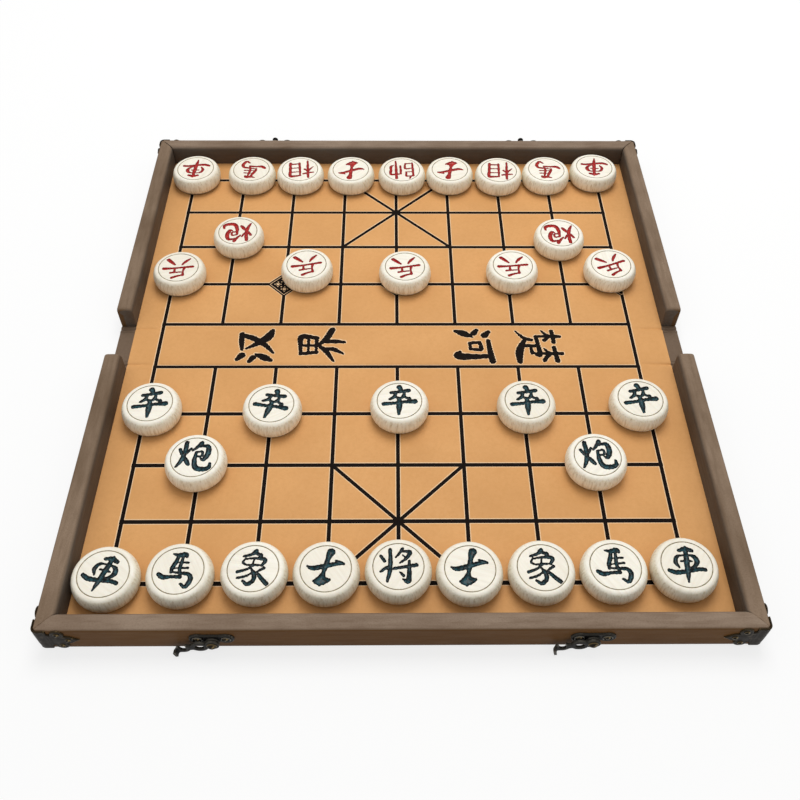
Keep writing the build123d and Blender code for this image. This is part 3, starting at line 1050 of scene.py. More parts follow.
class Glyph(Enum):
    """The traditional marks of the game, as brush strokes in a square of 100 units.

    Strokes are split by semicolons, points by blanks, and each point is its X, its Y and the brush's width. The
    strokes are laid out afresh, with even weights and rounded turns.
    """

    CHARIOT = ("-14,37,7 2,42,9 17,38,8;3,46,7 2,22,9 0,-8,9 -1,-28,8 -3,-47,5;-3,25,4 -20,21,7 -26,6,8 -19,-9,5;"
               "4,26,4 20,22,8 26,9,9 18,-5,7 5,-8,4;-13,8,5 1,10,6 14,9,5;"
               "-44,-17,8 -28,-22,9 0,-18,8 28,-12,8 42,-13,8")
    HORSE = ("-20,43,5 -6,41,8 8,44,9 14,38,6;-6,42,6 -9,24,8 -15,6,8 -16,-6,6;5,42,6 4,24,7 3,4,7 8,-6,6;"
             "-10,22,4 5,22,5 20,23,6;-14,5,4 4,7,5 22,9,6;-12,-5,5 10,-6,7 28,-8,8 34,-22,9 26,-40,8 13,-34,6;"
             "-44,-13,8 -32,-20,9 -12,-17,7 8,-16,8")
    ELEPHANT = ("2,47,8 -8,37,7 -26,31,6;0,40,6 14,36,8 10,28,6;-22,24,5 -26,14,6 -16,8,5;"
                "-20,24,5 2,27,6 26,24,8 20,8,6;0,26,5 -2,9,5;-16,8,5 2,9,6 18,9,5;0,9,6 -14,-3,6 -36,-11,7;"
                "-4,-1,5 5,-16,8 4,-32,8 -8,-42,8 -20,-34,6;0,-12,5 -16,-22,6 -34,-27,6;26,2,7 10,-9,5;"
                "10,-9,5 22,-24,8 38,-40,8")
    ADVISOR = ("10,44,12 4,28,9 0,8,9 -5,-12,8 -9,-28,12;-45,5,5 -30,0,9 0,7,9 24,13,8 42,14,6;"
               "22,22,5 34,17,7 43,13,5;-26,-34,6 -10,-33,13 10,-30,7;-12,-43,7 -6,-34,8")
    GENERAL = ("-20,45,7 -19,16,8 -21,-14,8 -27,-40,6;-42,27,7 -33,14,7;-42,-14,6 -32,-6,7 -19,2,6;"
               "10,47,7 2,34,6 -6,24,5;7,40,5 28,38,8 20,22,7 4,9,5;10,30,4 17,24,5;-10,-6,7 14,-2,7 43,3,8;"
               "26,14,6 26,-14,8 23,-40,9 11,-34,5;4,-16,5 12,-25,7")
    CANNON = ("-41,22,7 -34,8,7;-13,26,6 -21,12,6;-27,45,8 -27,18,8 -32,-12,8 -43,-34,5;-27,2,5 -18,-14,8 -12,-24,7;"
              "12,46,8 3,32,7 -8,20,5;6,34,5 30,36,8 34,14,9 26,-6,8 18,-4,5;4,16,5 18,18,6 18,4,6 4,2,5;"
              "3,16,6 2,-10,8 8,-32,9 26,-37,9 42,-32,8 44,-18,6")
    SOLDIER_BLACK = ("1,47,9 6,37,7;-22,28,7 2,31,7 26,35,8;-8,28,5 -14,14,7 -26,5,6;-13,16,5 -5,9,6 -1,2,5;"
                     "14,30,5 12,16,7 2,6,5;12,17,5 18,10,6 27,7,7;-43,-11,8 -14,-9,7 14,-5,7 42,-4,9;"
                     "0,8,7 -1,-20,9 -3,-47,6")
    ELEPHANT_RED = ("-45,19,6 -28,21,7 -12,25,7;-27,46,7 -27,10,8 -28,-45,6;-28,16,5 -36,0,6 -46,-12,4;"
                    "-26,12,5 -16,0,7;0,34,6 0,0,7 1,-35,7;0,34,6 20,36,8 34,34,9 33,0,8 32,-36,8;2,13,5 32,14,6;"
                    "2,-9,5 32,-8,6;0,-31,6 33,-30,7")
    GENERAL_RED = ("-25,48,6 -31,37,5;-38,35,7 -38,0,7 -37,-36,6;-38,34,5 -22,36,6 -14,34,7 -15,13,6;"
                   "-36,12,5 -14,13,5;-36,-8,5 -12,-6,7 -13,-33,6;-36,-34,5 -12,-33,6;5,22,7 4,0,7 5,-22,6;"
                   "5,23,6 24,25,7 39,24,8 38,0,8 37,-18,8 29,-25,5;20,47,8 20,8,8 20,-48,6")
    SOLDIER_RED = ("16,46,8 0,39,7 -18,35,6;-17,36,7 -16,18,6 -19,4,7;-15,21,5 2,22,6 22,24,7;11,22,6 10,4,7;"
                   "-44,-2,8 -14,1,7 14,4,7 44,5,9;-11,-12,6 -20,-25,8 -33,-37,6;12,-12,6 24,-25,9 34,-35,9")
    RIVER_HAN = ("-40,35,7 -29,26,10;-46,8,7 -35,1,9;-43,-38,7 -34,-22,10 -25,-4,5;-12,27,6 12,30,8 34,31,8;"
                 "31,30,8 20,2,9 0,-24,8 -22,-42,5;-9,18,5 8,-8,9 26,-28,11 46,-36,7")
    RIVER_BORDER = ("-24,46,7 -22,28,7 -20,12,7;-24,46,6 0,48,7 26,46,9 22,12,7;-22,30,5 22,31,6;0,46,6 0,12,6;"
                    "-20,13,5 22,13,7;0,9,6 -16,-8,8 -46,-26,5;2,8,6 20,-8,9 47,-20,9;-9,-8,6 -12,-26,8 -24,-46,5;"
                    "11,-8,7 12,-28,8 10,-48,6")
    RIVER_WATER = ("-40,35,7 -30,26,10;-46,9,7 -36,2,9;-43,-38,7 -35,-20,10 -25,-2,5;-14,33,7 14,35,8 46,39,9;"
                   "-9,14,6 -8,2,7 -6,-9,6;-9,14,6 4,16,7 13,14,7 10,-8,6;-6,-8,6 11,-7,6;"
                   "31,34,8 33,4,9 31,-34,11 18,-30,5")
    RIVER_CHU = ("-43,31,7 -26,33,7 -9,33,7;-26,47,7 -26,24,7 -27,3,6;-27,27,5 -34,16,6 -44,8,4;-24,24,5 -15,13,7;"
                 "6,32,7 24,34,7 45,36,8;24,48,7 24,24,7 24,4,6;24,28,5 18,16,6 9,10,4;26,25,5 34,14,7 44,8,7;"
                 "-26,-5,7 0,-2,7 28,-1,8 21,-15,5;2,-4,6 1,-20,7 1,-38,6;3,-19,5 22,-17,7;"
                 "-16,-16,7 -22,-32,7 -42,-49,4;-22,-27,5 0,-38,9 22,-45,10 47,-46,8")

    def strokes(self, size: float, weight: float) -> list[np.ndarray]:
        """Give the strokes as smooth lines.

        Args:
            size: side of the square, in millimetres.
            weight: factor on the brush's width.

        Returns:
            For each stroke, rows of X, Y and half width.
        """
        found = []
        for stroke in self.value.split(";"):
            rows = np.array([[float(n) for n in point.split(",")] for point in stroke.split()])
            rows[:, 2] *= (rows[:, 2] / BRUSH) ** CONTRAST
            line = smooth_line(rows) * size / 100
            line[:, 2] *= weight / 2
            found.append(line)
        return found

    def depth(self, size: float, weight: float, ragged: float = 0.05) -> PlanField:
        """Depth inside the glyph, written round the origin with its top towards +Y and a brush's ragged edge.

        Args:
            size: side of the square, in millimetres.
            weight: factor on the brush's width.
            ragged: unevenness of the edge.

        Returns:
            A function of the plan that is positive inside the glyph.
        """
        smooth = joined([stroke_field(line) for line in self.strokes(size, weight)], CORNER)

        def depth(x: np.ndarray, y: np.ndarray) -> np.ndarray:
            """Depth with the hairs of the brush."""
            hairs = np.sin(3.1 * x + 1.3 * y) + np.sin(1.7 * y - 4.3 * x + 1) + 0.7 * np.sin(7.9 * y + 2.3 * x + 2)
            return smooth(x, y) + ragged * hairs

        return depth


def turned_field(outline: PlanField, centre: Point, degrees: float) -> PlanField:
    """Move an outline to a centre and turn it counter-clockwise.

    Args:
        outline: the outline, round the origin.
        centre: where its origin goes.
        degrees: the turn.

    Returns:
        The moved outline.
    """
    cosine, sine = math.cos(math.radians(degrees)), math.sin(math.radians(degrees))

    def depth(x: np.ndarray, y: np.ndarray) -> np.ndarray:
        """Depth at the same places before the move."""
        dx, dy = x - centre[0], y - centre[1]
        return outline(cosine * dx + sine * dy, cosine * dy - sine * dx)

    return depth


# ------------------------------------------------------------------------------------------------ playing surface
Mark = tuple[PlanField, Window, PlanField | None]


@dataclass
class PrintedField:
    """The tan playing surface with its hot-pressed print: one sheet over both trays and the spine.

    Attributes:
        centre: middle of the print.
        file_pitch: step between files.
        rank_pitch: step between ranks.
        river: width of the river.
        line: width of a printed line along a file or a diagonal.
        rank_line: width of a printed line along a rank.
        edge: width of the pale edge beside the print, burnished and painted as a highlight.
        press: depth of the print.
        strip: half width of the strip at each fold.
        crease: depth of the crease along a fold.
        crease_width: half width of the crease.
        ripple: share by which its depth comes and goes.
        deepening: share by which it is deeper beside the walls.
        deep_from: from the middle to where that deepening begins.
        deep_run: width of the band over which it grows.
        lip: height of the lips along the crease.
        lip_at: from the fold to the middle of a lip.
        lip_width: half width of a lip.
        half_x: half the sheet's width.
        half_y: half its length.
        ornament_half: from the middle of a lozenge to its corner.
        glyph_size: side of the square that a mark of the river fills.
        glyph_weight: factor on its brush's width.
        glyph_ragged: unevenness of its edge.
        trace: step at which the marks' outlines are traced.
    """

    centre: Point = (-1.5, 0.9)
    file_pitch: float = 32.5
    rank_pitch: float = 32.0
    river: float = 31.2
    line: float = 1.92
    rank_line: float = 2.2
    edge: float = 0.4
    press: float = 0.1
    strip: float = 2.6
    crease: float = 0.3
    crease_width: float = 0.7
    ripple: float = 0.35
    deepening: float = 1.2
    deep_from: float = 132.0
    deep_run: float = 15.0
    lip: float = 0.06
    lip_at: float = 1.5
    lip_width: float = 0.6
    half_x: float = 146.6
    half_y: float = 162.0
    ornament_half: float = 10.2
    glyph_size: float = 25.0
    glyph_weight: float = 1.45
    glyph_ragged: float = 0.09
    trace: float = 0.3

    def file_x(self, number: int) -> float:
        """X of a file, counted from the left from 0 to 8."""
        return self.centre[0] + (number - 4) * self.file_pitch

    def rank_y(self, number: int) -> float:
        """Y of a rank, counted from the near end from 0 to 9.

        Args:
            number: the rank.

        Returns:
            Its Y.
        """
        if number < 5:
            return self.centre[1] - self.river / 2 - (4 - number) * self.rank_pitch
        return self.centre[1] + self.river / 2 + (number - 5) * self.rank_pitch

    def lines(self) -> list[tuple[Point, Point]]:
        """Ends of every printed line.

        Returns:
            Start and end of each.
        """
        found = [((self.file_x(0), self.rank_y(r)), (self.file_x(8), self.rank_y(r))) for r in range(10)]
        for f in range(9):
            halves = ((0, 9),) if f in (0, 8) else ((0, 4), (5, 9))
            found += [((self.file_x(f), self.rank_y(a)), (self.file_x(f), self.rank_y(b))) for a, b in halves]
        for low, high in ((0, 2), (7, 9)):
            found.append(((self.file_x(3), self.rank_y(low)), (self.file_x(5), self.rank_y(high))))
            found.append(((self.file_x(5), self.rank_y(low)), (self.file_x(3), self.rank_y(high))))
        return found

    def half_line(self, start: Point, end: Point) -> float:
        """Half the width of the printed line between two points."""
        return (self.rank_line if start[1] == end[1] else self.line) / 2

    def bar(self, start: Point, end: Point) -> PlanField:
        """Depth inside one printed line, with square ends half a line beyond its two points.

        Args:
            start: one end.
            end: the other.

        Returns:
            A function of the plan that is positive inside the line.
        """
        length, ux, uy = heading(start, end)
        mx, my = (start[0] + end[0]) / 2, (start[1] + end[1]) / 2
        half = self.half_line(start, end)

        def depth(x: np.ndarray, y: np.ndarray) -> np.ndarray:
            """Depth from the nearest side or end.

            Args:
                x: X of the places.
                y: Y of the places.

            Returns:
                Their depth.
            """
            along = np.abs((x - mx) * ux + (y - my) * uy) - length / 2
            across = np.abs((y - my) * ux - (x - mx) * uy)
            return half - np.maximum(along, across)

        return depth

    @property
    def lozenge(self) -> PlanField:
        """Depth inside a lozenge's outline, before it stands on its corner."""
        return square_field(self.ornament_half / math.sqrt(2))

    def ornament(self) -> PlanField:
        """Depth inside the lattice lozenge that marks a soldier's or a cannon's point.

        Returns:
            A function of the plan that is positive on the lattice.
        """
        side = self.ornament_half / math.sqrt(2)
        cell, arm, bar, dot = side * 0.39, side * 0.17, side * 0.045, side * 0.055
        cuts = [without(square_field(side * 0.86), [square_field(side * 0.82)])]
        for cx in (-cell, cell):
            for cy in (-cell, cell):
                cuts.append(box_field(cx - arm, cx + arm, cy - bar, cy + bar))
                cuts.append(box_field(cx - bar, cx + bar, cy - arm, cy + arm))
                cuts += [disc_field(cx + dx * arm, cy + dy * arm, dot) for dx in (-1, 1) for dy in (-1, 1)]
        cuts += [disc_field(x * cell, y * cell, dot) for x, y in ((0, 0), (1, 0), (-1, 0), (0, 1), (0, -1))]
        return turned_field(without(self.lozenge, cuts), (0, 0), 45)

    def marks(self) -> list[Mark]:
        """Every mark that isn't a line, with the window that holds it and the area that it keeps for itself.

        Returns:
            For each mark its outline, its window and its own area.
        """
        found = []
        spots = [(f, r) for r in (3, 6) for f in (0, 2, 4, 6, 8)] + [(f, r) for r in (2, 7) for f in (1, 7)]
        for f, r in spots:
            at = (self.file_x(f), self.rank_y(r))
            shape = turned_field(self.ornament(), at, 0)
            if f in (0, 8):
                side = 1 if f == 0 else -1
                inner = (lambda x, y, s=side, edge=at[0]: s * (x - edge) + self.line / 2)
                shape = (lambda x, y, a=shape, b=inner: np.minimum(a(x, y), b(x, y)))
            found.append((shape, self.around(at, self.ornament_half + 1), turned_field(self.lozenge, at, 45)))
        for glyph, x, turn in ((Glyph.RIVER_HAN, -79.5, 90), (Glyph.RIVER_BORDER, -42.5, 90),
                               (Glyph.RIVER_WATER, 40.5, -90), (Glyph.RIVER_CHU, 76.5, -90)):
            at = (x, self.centre[1] - 0.3)
            written = glyph.depth(self.glyph_size, self.glyph_weight, ragged=self.glyph_ragged)
            found.append((turned_field(written, at, turn), self.around(at, self.glyph_size * 0.56), None))
        return found

    @staticmethod
    def around(at: Point, reach: float) -> Window:
        """Window of this reach round a point."""
        return at[0] - reach, at[0] + reach, at[1] - reach, at[1] + reach

    def drawing(self, marks: Sequence[Mark]) -> Plan:
        """Draw the sheet's outline, the folds' strips and the print.

        Args:
            marks: the marks and their windows.

        Returns:
            The drawing.
        """
        plan = Plan()
        plan.loop([(-self.half_x, -self.half_y), (self.half_x, -self.half_y), (self.half_x, self.half_y),
                   (-self.half_x, self.half_y)])
        for fold in (-FOLD_Y, FOLD_Y):
            for step in (-1.0, -0.5, -0.25, 0.0, 0.25, 0.5, 1.0):
                y = fold + step * self.strip
                columns = np.linspace(-self.half_x, self.half_x, 99)
                if abs(step) == 1:
                    plan.draw([(float(x), y) for x in columns], [(k, k + 1) for k in range(len(columns) - 1)])
                else:
                    plan.dots([(float(x), y) for x in columns])
        for start, end in self.lines():
            _, ux, uy = heading(start, end)
            half = self.half_line(start, end)
            corners = [(start, -1, -1), (end, 1, -1), (end, 1, 1), (start, -1, 1)]
            for reach in (half, half + self.edge):
                plan.loop([(p[0] + reach * (a * ux - b * uy), p[1] + reach * (a * uy + b * ux)) for p, a, b in corners])
        for shape, window, _ in marks:
            for level in (0.0, -self.edge):
                plan.draw(*contour(shape, window, self.trace, level))
        return plan

    def depth(self, marks: Sequence[Mark], places: np.ndarray) -> np.ndarray:
        """Depth inside the print at many places.

        Args:
            marks: the marks.
            places: rows of X and Y.

        Returns:
            Depth of each place, below nought beside the print.
        """
        x, y = places[:, 0], places[:, 1]
        best = np.full(len(x), -1e3)
        for start, end in self.lines():
            best = np.maximum(best, self.bar(start, end)(x, y))
        for shape, (x0, x1, y0, y1), solid in marks:
            near = (x > x0) & (x < x1) & (y > y0) & (y < y1)
            here = shape(x[near], y[near])
            covered = solid(x[near], y[near]) > 0 if solid else np.zeros(len(here), bool)
            best[near] = np.where(covered, here, np.maximum(best[near], here))
        return best

    def height(self, places: np.ndarray, depth: np.ndarray) -> np.ndarray:
        """Height of the sheet's top: pressed under the print, and creased along the folds.

        Args:
            places: rows of X and Y.
            depth: their depth inside the print.

        Returns:
            Height of each place.
        """
        pressed = self.press * np.clip(1 + depth / self.edge, 0, 1)
        off = np.abs(np.abs(places[:, 1]) - FOLD_Y)
        ripple = 1 + self.ripple * np.sin(places[:, 0] / 7.3) * np.sin(places[:, 0] / 2.9 + 1)
        towards_walls = 1 + self.deepening * np.clip((np.abs(places[:, 0]) - self.deep_from) / self.deep_run, 0, 1)
        crease = self.crease * ripple * towards_walls * np.exp(-((off / self.crease_width) ** 2))
        lips = self.lip * np.exp(-(((off - self.lip_at) / self.lip_width) ** 2))
        return SURFACE_Z - pressed - crease + lips

    def build(self) -> None:
        """Cut the sheet into the two trays' parts, the spine's part and the two strips at the folds, and dress them."""
        marks = self.marks()
        places, triangles = self.drawing(marks).triangles()
        depth = self.depth(marks, places)
        heights = self.height(places, depth)
        middles = places[triangles].mean(axis=1)
        inside = (np.abs(middles[:, 0]) < self.half_x) & (np.abs(middles[:, 1]) < self.half_y)
        triangles, middles = triangles[inside], middles[inside]
        printed = self.depth(marks, middles)
        # the print, then its pale edge as a painted highlight, then the plain skin
        looks = np.where(printed > 0, 1, np.where(printed > -self.edge, 2, 0))
        near, far = -FOLD_Y - self.strip, FOLD_Y + self.strip
        y = middles[:, 1]
        parts = [
            ("near_playing_sheet", y < near, "near_tray", "near_playing_surface"),
            ("near_fold_sheet", (y > near) & (y < near + 2 * self.strip), None, None),
            ("river_sheet", (y > near + 2 * self.strip) & (y < far - 2 * self.strip), "spine_panel", "river_surface"),
            ("far_fold_sheet", (y > far - 2 * self.strip) & (y < far), None, None),
            ("far_playing_sheet", y > far, "far_tray", "far_playing_surface"),
        ]
        for name, chosen, body, node in parts:
            sheet = slab(places, heights, SHEET_Z, triangles[chosen], looks[chosen])
            thing = sheet.stored(name, [TAN_SKIN, BLACK_PRINT, PRINT_EDGE])
            if body and node:
                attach(thing, body)
                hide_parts(node)
            else:
                folded(thing)
            log.info("%s: %d faces", name, len(thing.data.polygons))


# ------------------------------------------------------------------------------------------------ walls and covers
@dataclass
class WrappedWalls:
    """Three board walls of a tray, wrapped in brown leatherette and mitred at the corners.

    Attributes:
        thickness: thickness of a wall.
        corner: radius of the tray's outer corners.
        edge: radius of the rim's outer edge.
        inner_edge: radius of its inner edge, which is padded.
        end_edge: radius of the rounded top of a wall's end at the fold.
        end_side: radius of the upright edges of that end.
        foot_edge: radius of the outer edge on the table.
        crown: how far the rim's middle stands proud of its edges.
        mitre: depth of the groove along a near mitre.
        far_mitre: depth of the groove along a far mitre.
        end_y: where the side walls end.
        step: longest step between a straight wall's outlines.
        ease: from a corner's wall to the first straight outline.
    """

    thickness: float = 8.4
    corner: float = 2.0
    edge: float = 1.4
    inner_edge: float = 2.6
    end_edge: float = 2.4
    end_side: float = 0.9
    foot_edge: float = 0.7
    crown: float = 0.12
    mitre: float = 0.15
    far_mitre: float = 0.5
    end_y: float = 15.6
    step: float = 22.0
    ease: float = 1.2

    def profile(self, inset: float = 0.0, drop: float = 0.0, floor: float = 0.0) -> list[Point]:
        """Outline across a wall: distance in from the outer face, and height.

        Args:
            inset: how far both sides are drawn in.
            drop: how far the rim is lowered.
            floor: height of the lower face.

        Returns:
            Points in order from the outer foot up, over the rim and down.
        """
        low, high, top = inset, self.thickness - inset, RIM_Z - self.crown - drop
        points = arc((low + self.foot_edge, floor + self.foot_edge), self.foot_edge, 270, 180, 3)
        points += [(low, 3.0), (low, 8.0), (low, top - self.edge - 0.6)]
        points += arc((low + self.edge, top - self.edge), self.edge, 180, 90, 6)
        points += [(low + self.edge + 0.5, top + self.crown * 0.6), (high - self.inner_edge - 1.8, top + self.crown),
                   (high - self.inner_edge - 0.5, top + self.crown * 0.6)]
        points += arc((high - self.inner_edge, top - self.inner_edge), self.inner_edge, 90, 0, 8)
        points += [(high, top - self.inner_edge - 0.6), (high, 8.0), (high, 3.4), (high, floor + 0.3),
                   (high - 0.3, floor)]
        return points

    def corner_sections(self, mitre: float) -> list[list[tuple[float, float, float]]]:
        """Outlines round the first corner, in a frame of length along, distance in from the outer face, height.

        Args:
            mitre: depth of the groove along the mitre.

        Returns:
            The outlines, from the mitre to where the wall runs straight.
        """
        found = []
        steps = 4
        for step in range(steps + 1):
            angle = math.radians(45 * (1 - step / steps))
            groove = mitre * (1.0, 0.3, 0.0, 0.0, 0.0)[step]
            section = []
            for t, z in self.profile(inset=groove * 0.5, drop=groove):
                if t < self.corner:
                    reach = self.corner - t
                    section.append((self.corner - reach * math.sin(angle), self.corner - reach * math.cos(angle), z))
                else:
                    section.append((t + 1.1 * step / steps, t, z))
            found.append(section)
        return found

    def straight_sections(self, start: float, end: float) -> list[list[tuple[float, float, float]]]:
        """Plain outlines from one length to another."""
        count = max(2, round((end - start) / self.step))
        return [[(start + (end - start) * k / count, t, z) for t, z in self.profile()] for k in range(count + 1)]

    def end_sections(self, length: float) -> list[list[tuple[float, float, float]]]:
        """Outlines that round off the free end of a side wall.

        Args:
            length: length of the wall.

        Returns:
            The outlines, up to the very end.
        """
        found = []
        for left in (2.4, 1.8, 1.2, 0.9, 0.6, 0.35, 0.15, 0.0):
            drop = self.end_edge - math.sqrt(self.end_edge**2 - max(self.end_edge - left, 0) ** 2)
            inset = 0.0
            if left < self.end_side:
                inset = self.end_side - math.sqrt(self.end_side**2 - (self.end_side - left) ** 2)
            found.append([(length - left, t, z) for t, z in self.profile(inset * 0.75, drop, inset * 0.4)])
        return found

    def end_wall(self, mitre: float) -> Shape:
        """The wall across the tray's outer end, near tray.

        Args:
            mitre: depth of the groove along its mitres.

        Returns:
            The wall.
        """
        length = 2 * OUTER_X
        first = self.corner_sections(mitre)
        last = [[(length - s, t, z) for s, t, z in section] for section in reversed(first)]
        bare = self.thickness + self.ease
        sections = first + self.straight_sections(bare, length - bare) + last
        return swept([[(s - OUTER_X, t - OUTER_Y, z) for s, t, z in section] for section in sections])

    def side_wall(self, mitre: float) -> Shape:
        """The left wall, near tray.

        Args:
            mitre: depth of the groove along its mitre.

        Returns:
            The wall.
        """
        length = OUTER_Y - self.end_y
        sections = self.corner_sections(mitre) + self.straight_sections(self.thickness + self.ease, length - 3.2)
        sections += self.end_sections(length)
        return swept([[(t - OUTER_X, s - OUTER_Y, z) for s, t, z in section] for section in sections])

    def build(self) -> None:
        """Make the six walls."""
        for (tray, place), end, mitre in zip(TRAYS, ("front", "back"), (self.mitre, self.far_mitre)):
            body, node = f"{tray}_tray", f"{tray}_{end}_wall"
            self.end_wall(mitre).moved(place).fitted(f"{node}_wrapped", BROWN_ALONG_X, body, node)
            for side, turn in SIDES:
                node = f"{tray}_{side}_wall"
                shape = self.side_wall(mitre).moved(place).moved(turn)
                shape.fitted(f"{node}_wrapped", BROWN_ALONG_Y, body, node)
            log.info("%s tray: three wrapped walls", tray)


@dataclass
class HingeAndCovers:
    """Brown leatherette under both trays and round the spine, and the two hinges that join them.

    Attributes:
        skin: thickness of the leatherette.
        half: half width of a hinge, to the outside of the panels' turned-up edges.
        lip: height of the turned-in leatherette beside the playing surface.
        fold: share of a hinge either side of its fold line; not used.
        spine_y: half the length of the spine's cover along the box.
        crease: depth of the crease over a fold, beside the playing surface.
    """

    skin: float = 0.6
    half: float = 2.4
    lip: float = 0.4
    fold: float = 1.7
    spine_y: float = 10.7
    crease: float = 0.66

    def tray_cover(self) -> Shape:
        """The sheet under the near tray, between its walls.

        Returns:
            The sheet.
        """
        y0, y1 = -INNER_Y, -FOLD_Y - self.half
        rows = [y0, y0 + 0.5, -120.0, -80.0, -40.0, y1 - 0.5, y1]
        outline = [(-INNER_X, 0.0), (INNER_X, 0.0), (INNER_X, self.skin), (-INNER_X, self.skin)]
        return swept([[(x, y, z) for x, z in outline] for y in rows])

    def wall_foot(self) -> Shape:
        """The narrow part of the cover between a wall's end and the hinge, left side.

        Returns:
            The part.
        """
        left, right = -OUTER_X + 0.5, -INNER_X
        return swept([[(left, y, 0.0), (right, y, 0.0), (right, y, SHEET_Z), (left, y, SHEET_Z)]
                      for y in (-15.75, -FOLD_Y - self.half + 0.05)])

    def hinge(self) -> Shape:
        """The hinge of the near fold: up one panel's edge, across the gutter, down the other's.

        Returns:
            The hinge.
        """
        columns = [-OUTER_X, -OUTER_X + 0.15, -OUTER_X + 0.4, -151.0, -INNER_X - 0.3, -INNER_X, -INNER_X + 0.05]
        columns += [float(x) for x in np.linspace(-140, 140, 29)]
        columns += [-x for x in reversed(columns[:7])]
        half = [(-2.4, 0.25), (-2.15, 0.0), (-1.8, 0.0), (-1.8, 1.6), (-1.65, 2.15), (-1.1, 2.4), (-0.5, 2.4)]
        under = half + [(0.0, 2.4)] + [(-dy, z) for dy, z in reversed(half)]
        over = [(2.4, 2.6), *((dy, SHEET_Z) for dy in (2.25, 1.6, 1.1, 0.7, 0.35))]
        over += [(0.0, SHEET_Z)] + [(-dy, z) for dy, z in reversed(over)]
        sections = []
        for x in columns:
            out = max(0.0, (abs(x) - (OUTER_X - 0.4)) / 0.4)
            round_off = 0.22 * out * out
            lip = self.lip if abs(x) >= INNER_X else 0.0
            section = [(x, -FOLD_Y + dy, z + (round_off if z < 0.3 else 0.0)) for dy, z in under]
            for dy, z in over:
                raised = lip if z > 2.7 else 0.0
                dip = self.crease * math.exp(-((dy / 0.5) ** 2)) * (1.0 if lip else 0.15)
                section.append((x, -FOLD_Y + dy, z + raised - dip - round_off))
            sections.append(section)
        return swept(sections)

    def spine_cover(self) -> Shape:
        """The sheet under the spine's board, round its two ends and turned in over them.

        Returns:
            The sheet.
        """
        outer, top = OUTER_X, SHEET_Z + self.lip
        board = outer - self.skin
        half = [(INNER_X, SHEET_Z), (INNER_X, top - 0.1), (INNER_X + 0.12, top), (151.0, top + 0.05),
                (outer - 0.5, top), (outer - 0.15, top - 0.15), (outer, top - 0.5), (outer, 1.6), (outer, 0.5),
                (outer - 0.15, 0.15), (outer - 0.5, 0.0), (140.0, 0.0), (0.0, 0.0)]
        inner = [(0.0, self.skin), (board, self.skin), (board, SHEET_Z)]
        outline = half + [(-x, z) for x, z in reversed(half[:-1])] + [(-board, SHEET_Z), (-board, self.skin)] + inner
        rows = (-self.spine_y, -self.spine_y + 0.3, 0.0, self.spine_y - 0.3, self.spine_y)
        return swept([[(x, y, z) for x, z in outline] for y in rows])

    def build(self) -> None:
        """Make the covers and the hinges."""
        for tray, place in TRAYS:
            cover = self.tray_cover()
            for _, turn in SIDES:
                cover.join(self.wall_foot().moved(turn))
            cover.moved(place).fitted(f"{tray}_cover_skin", BROWN_SKIN, f"{tray}_tray", f"{tray}_cover")
            hinge = self.hinge().moved(place).stored(f"{tray}_hinge_skin", [BROWN_SKIN])
            folded(hinge)
            log.info("%s cover and hinge", tray)
        self.spine_cover().fitted("spine_cover_skin", BROWN_SKIN, "spine_panel", "spine_cover")


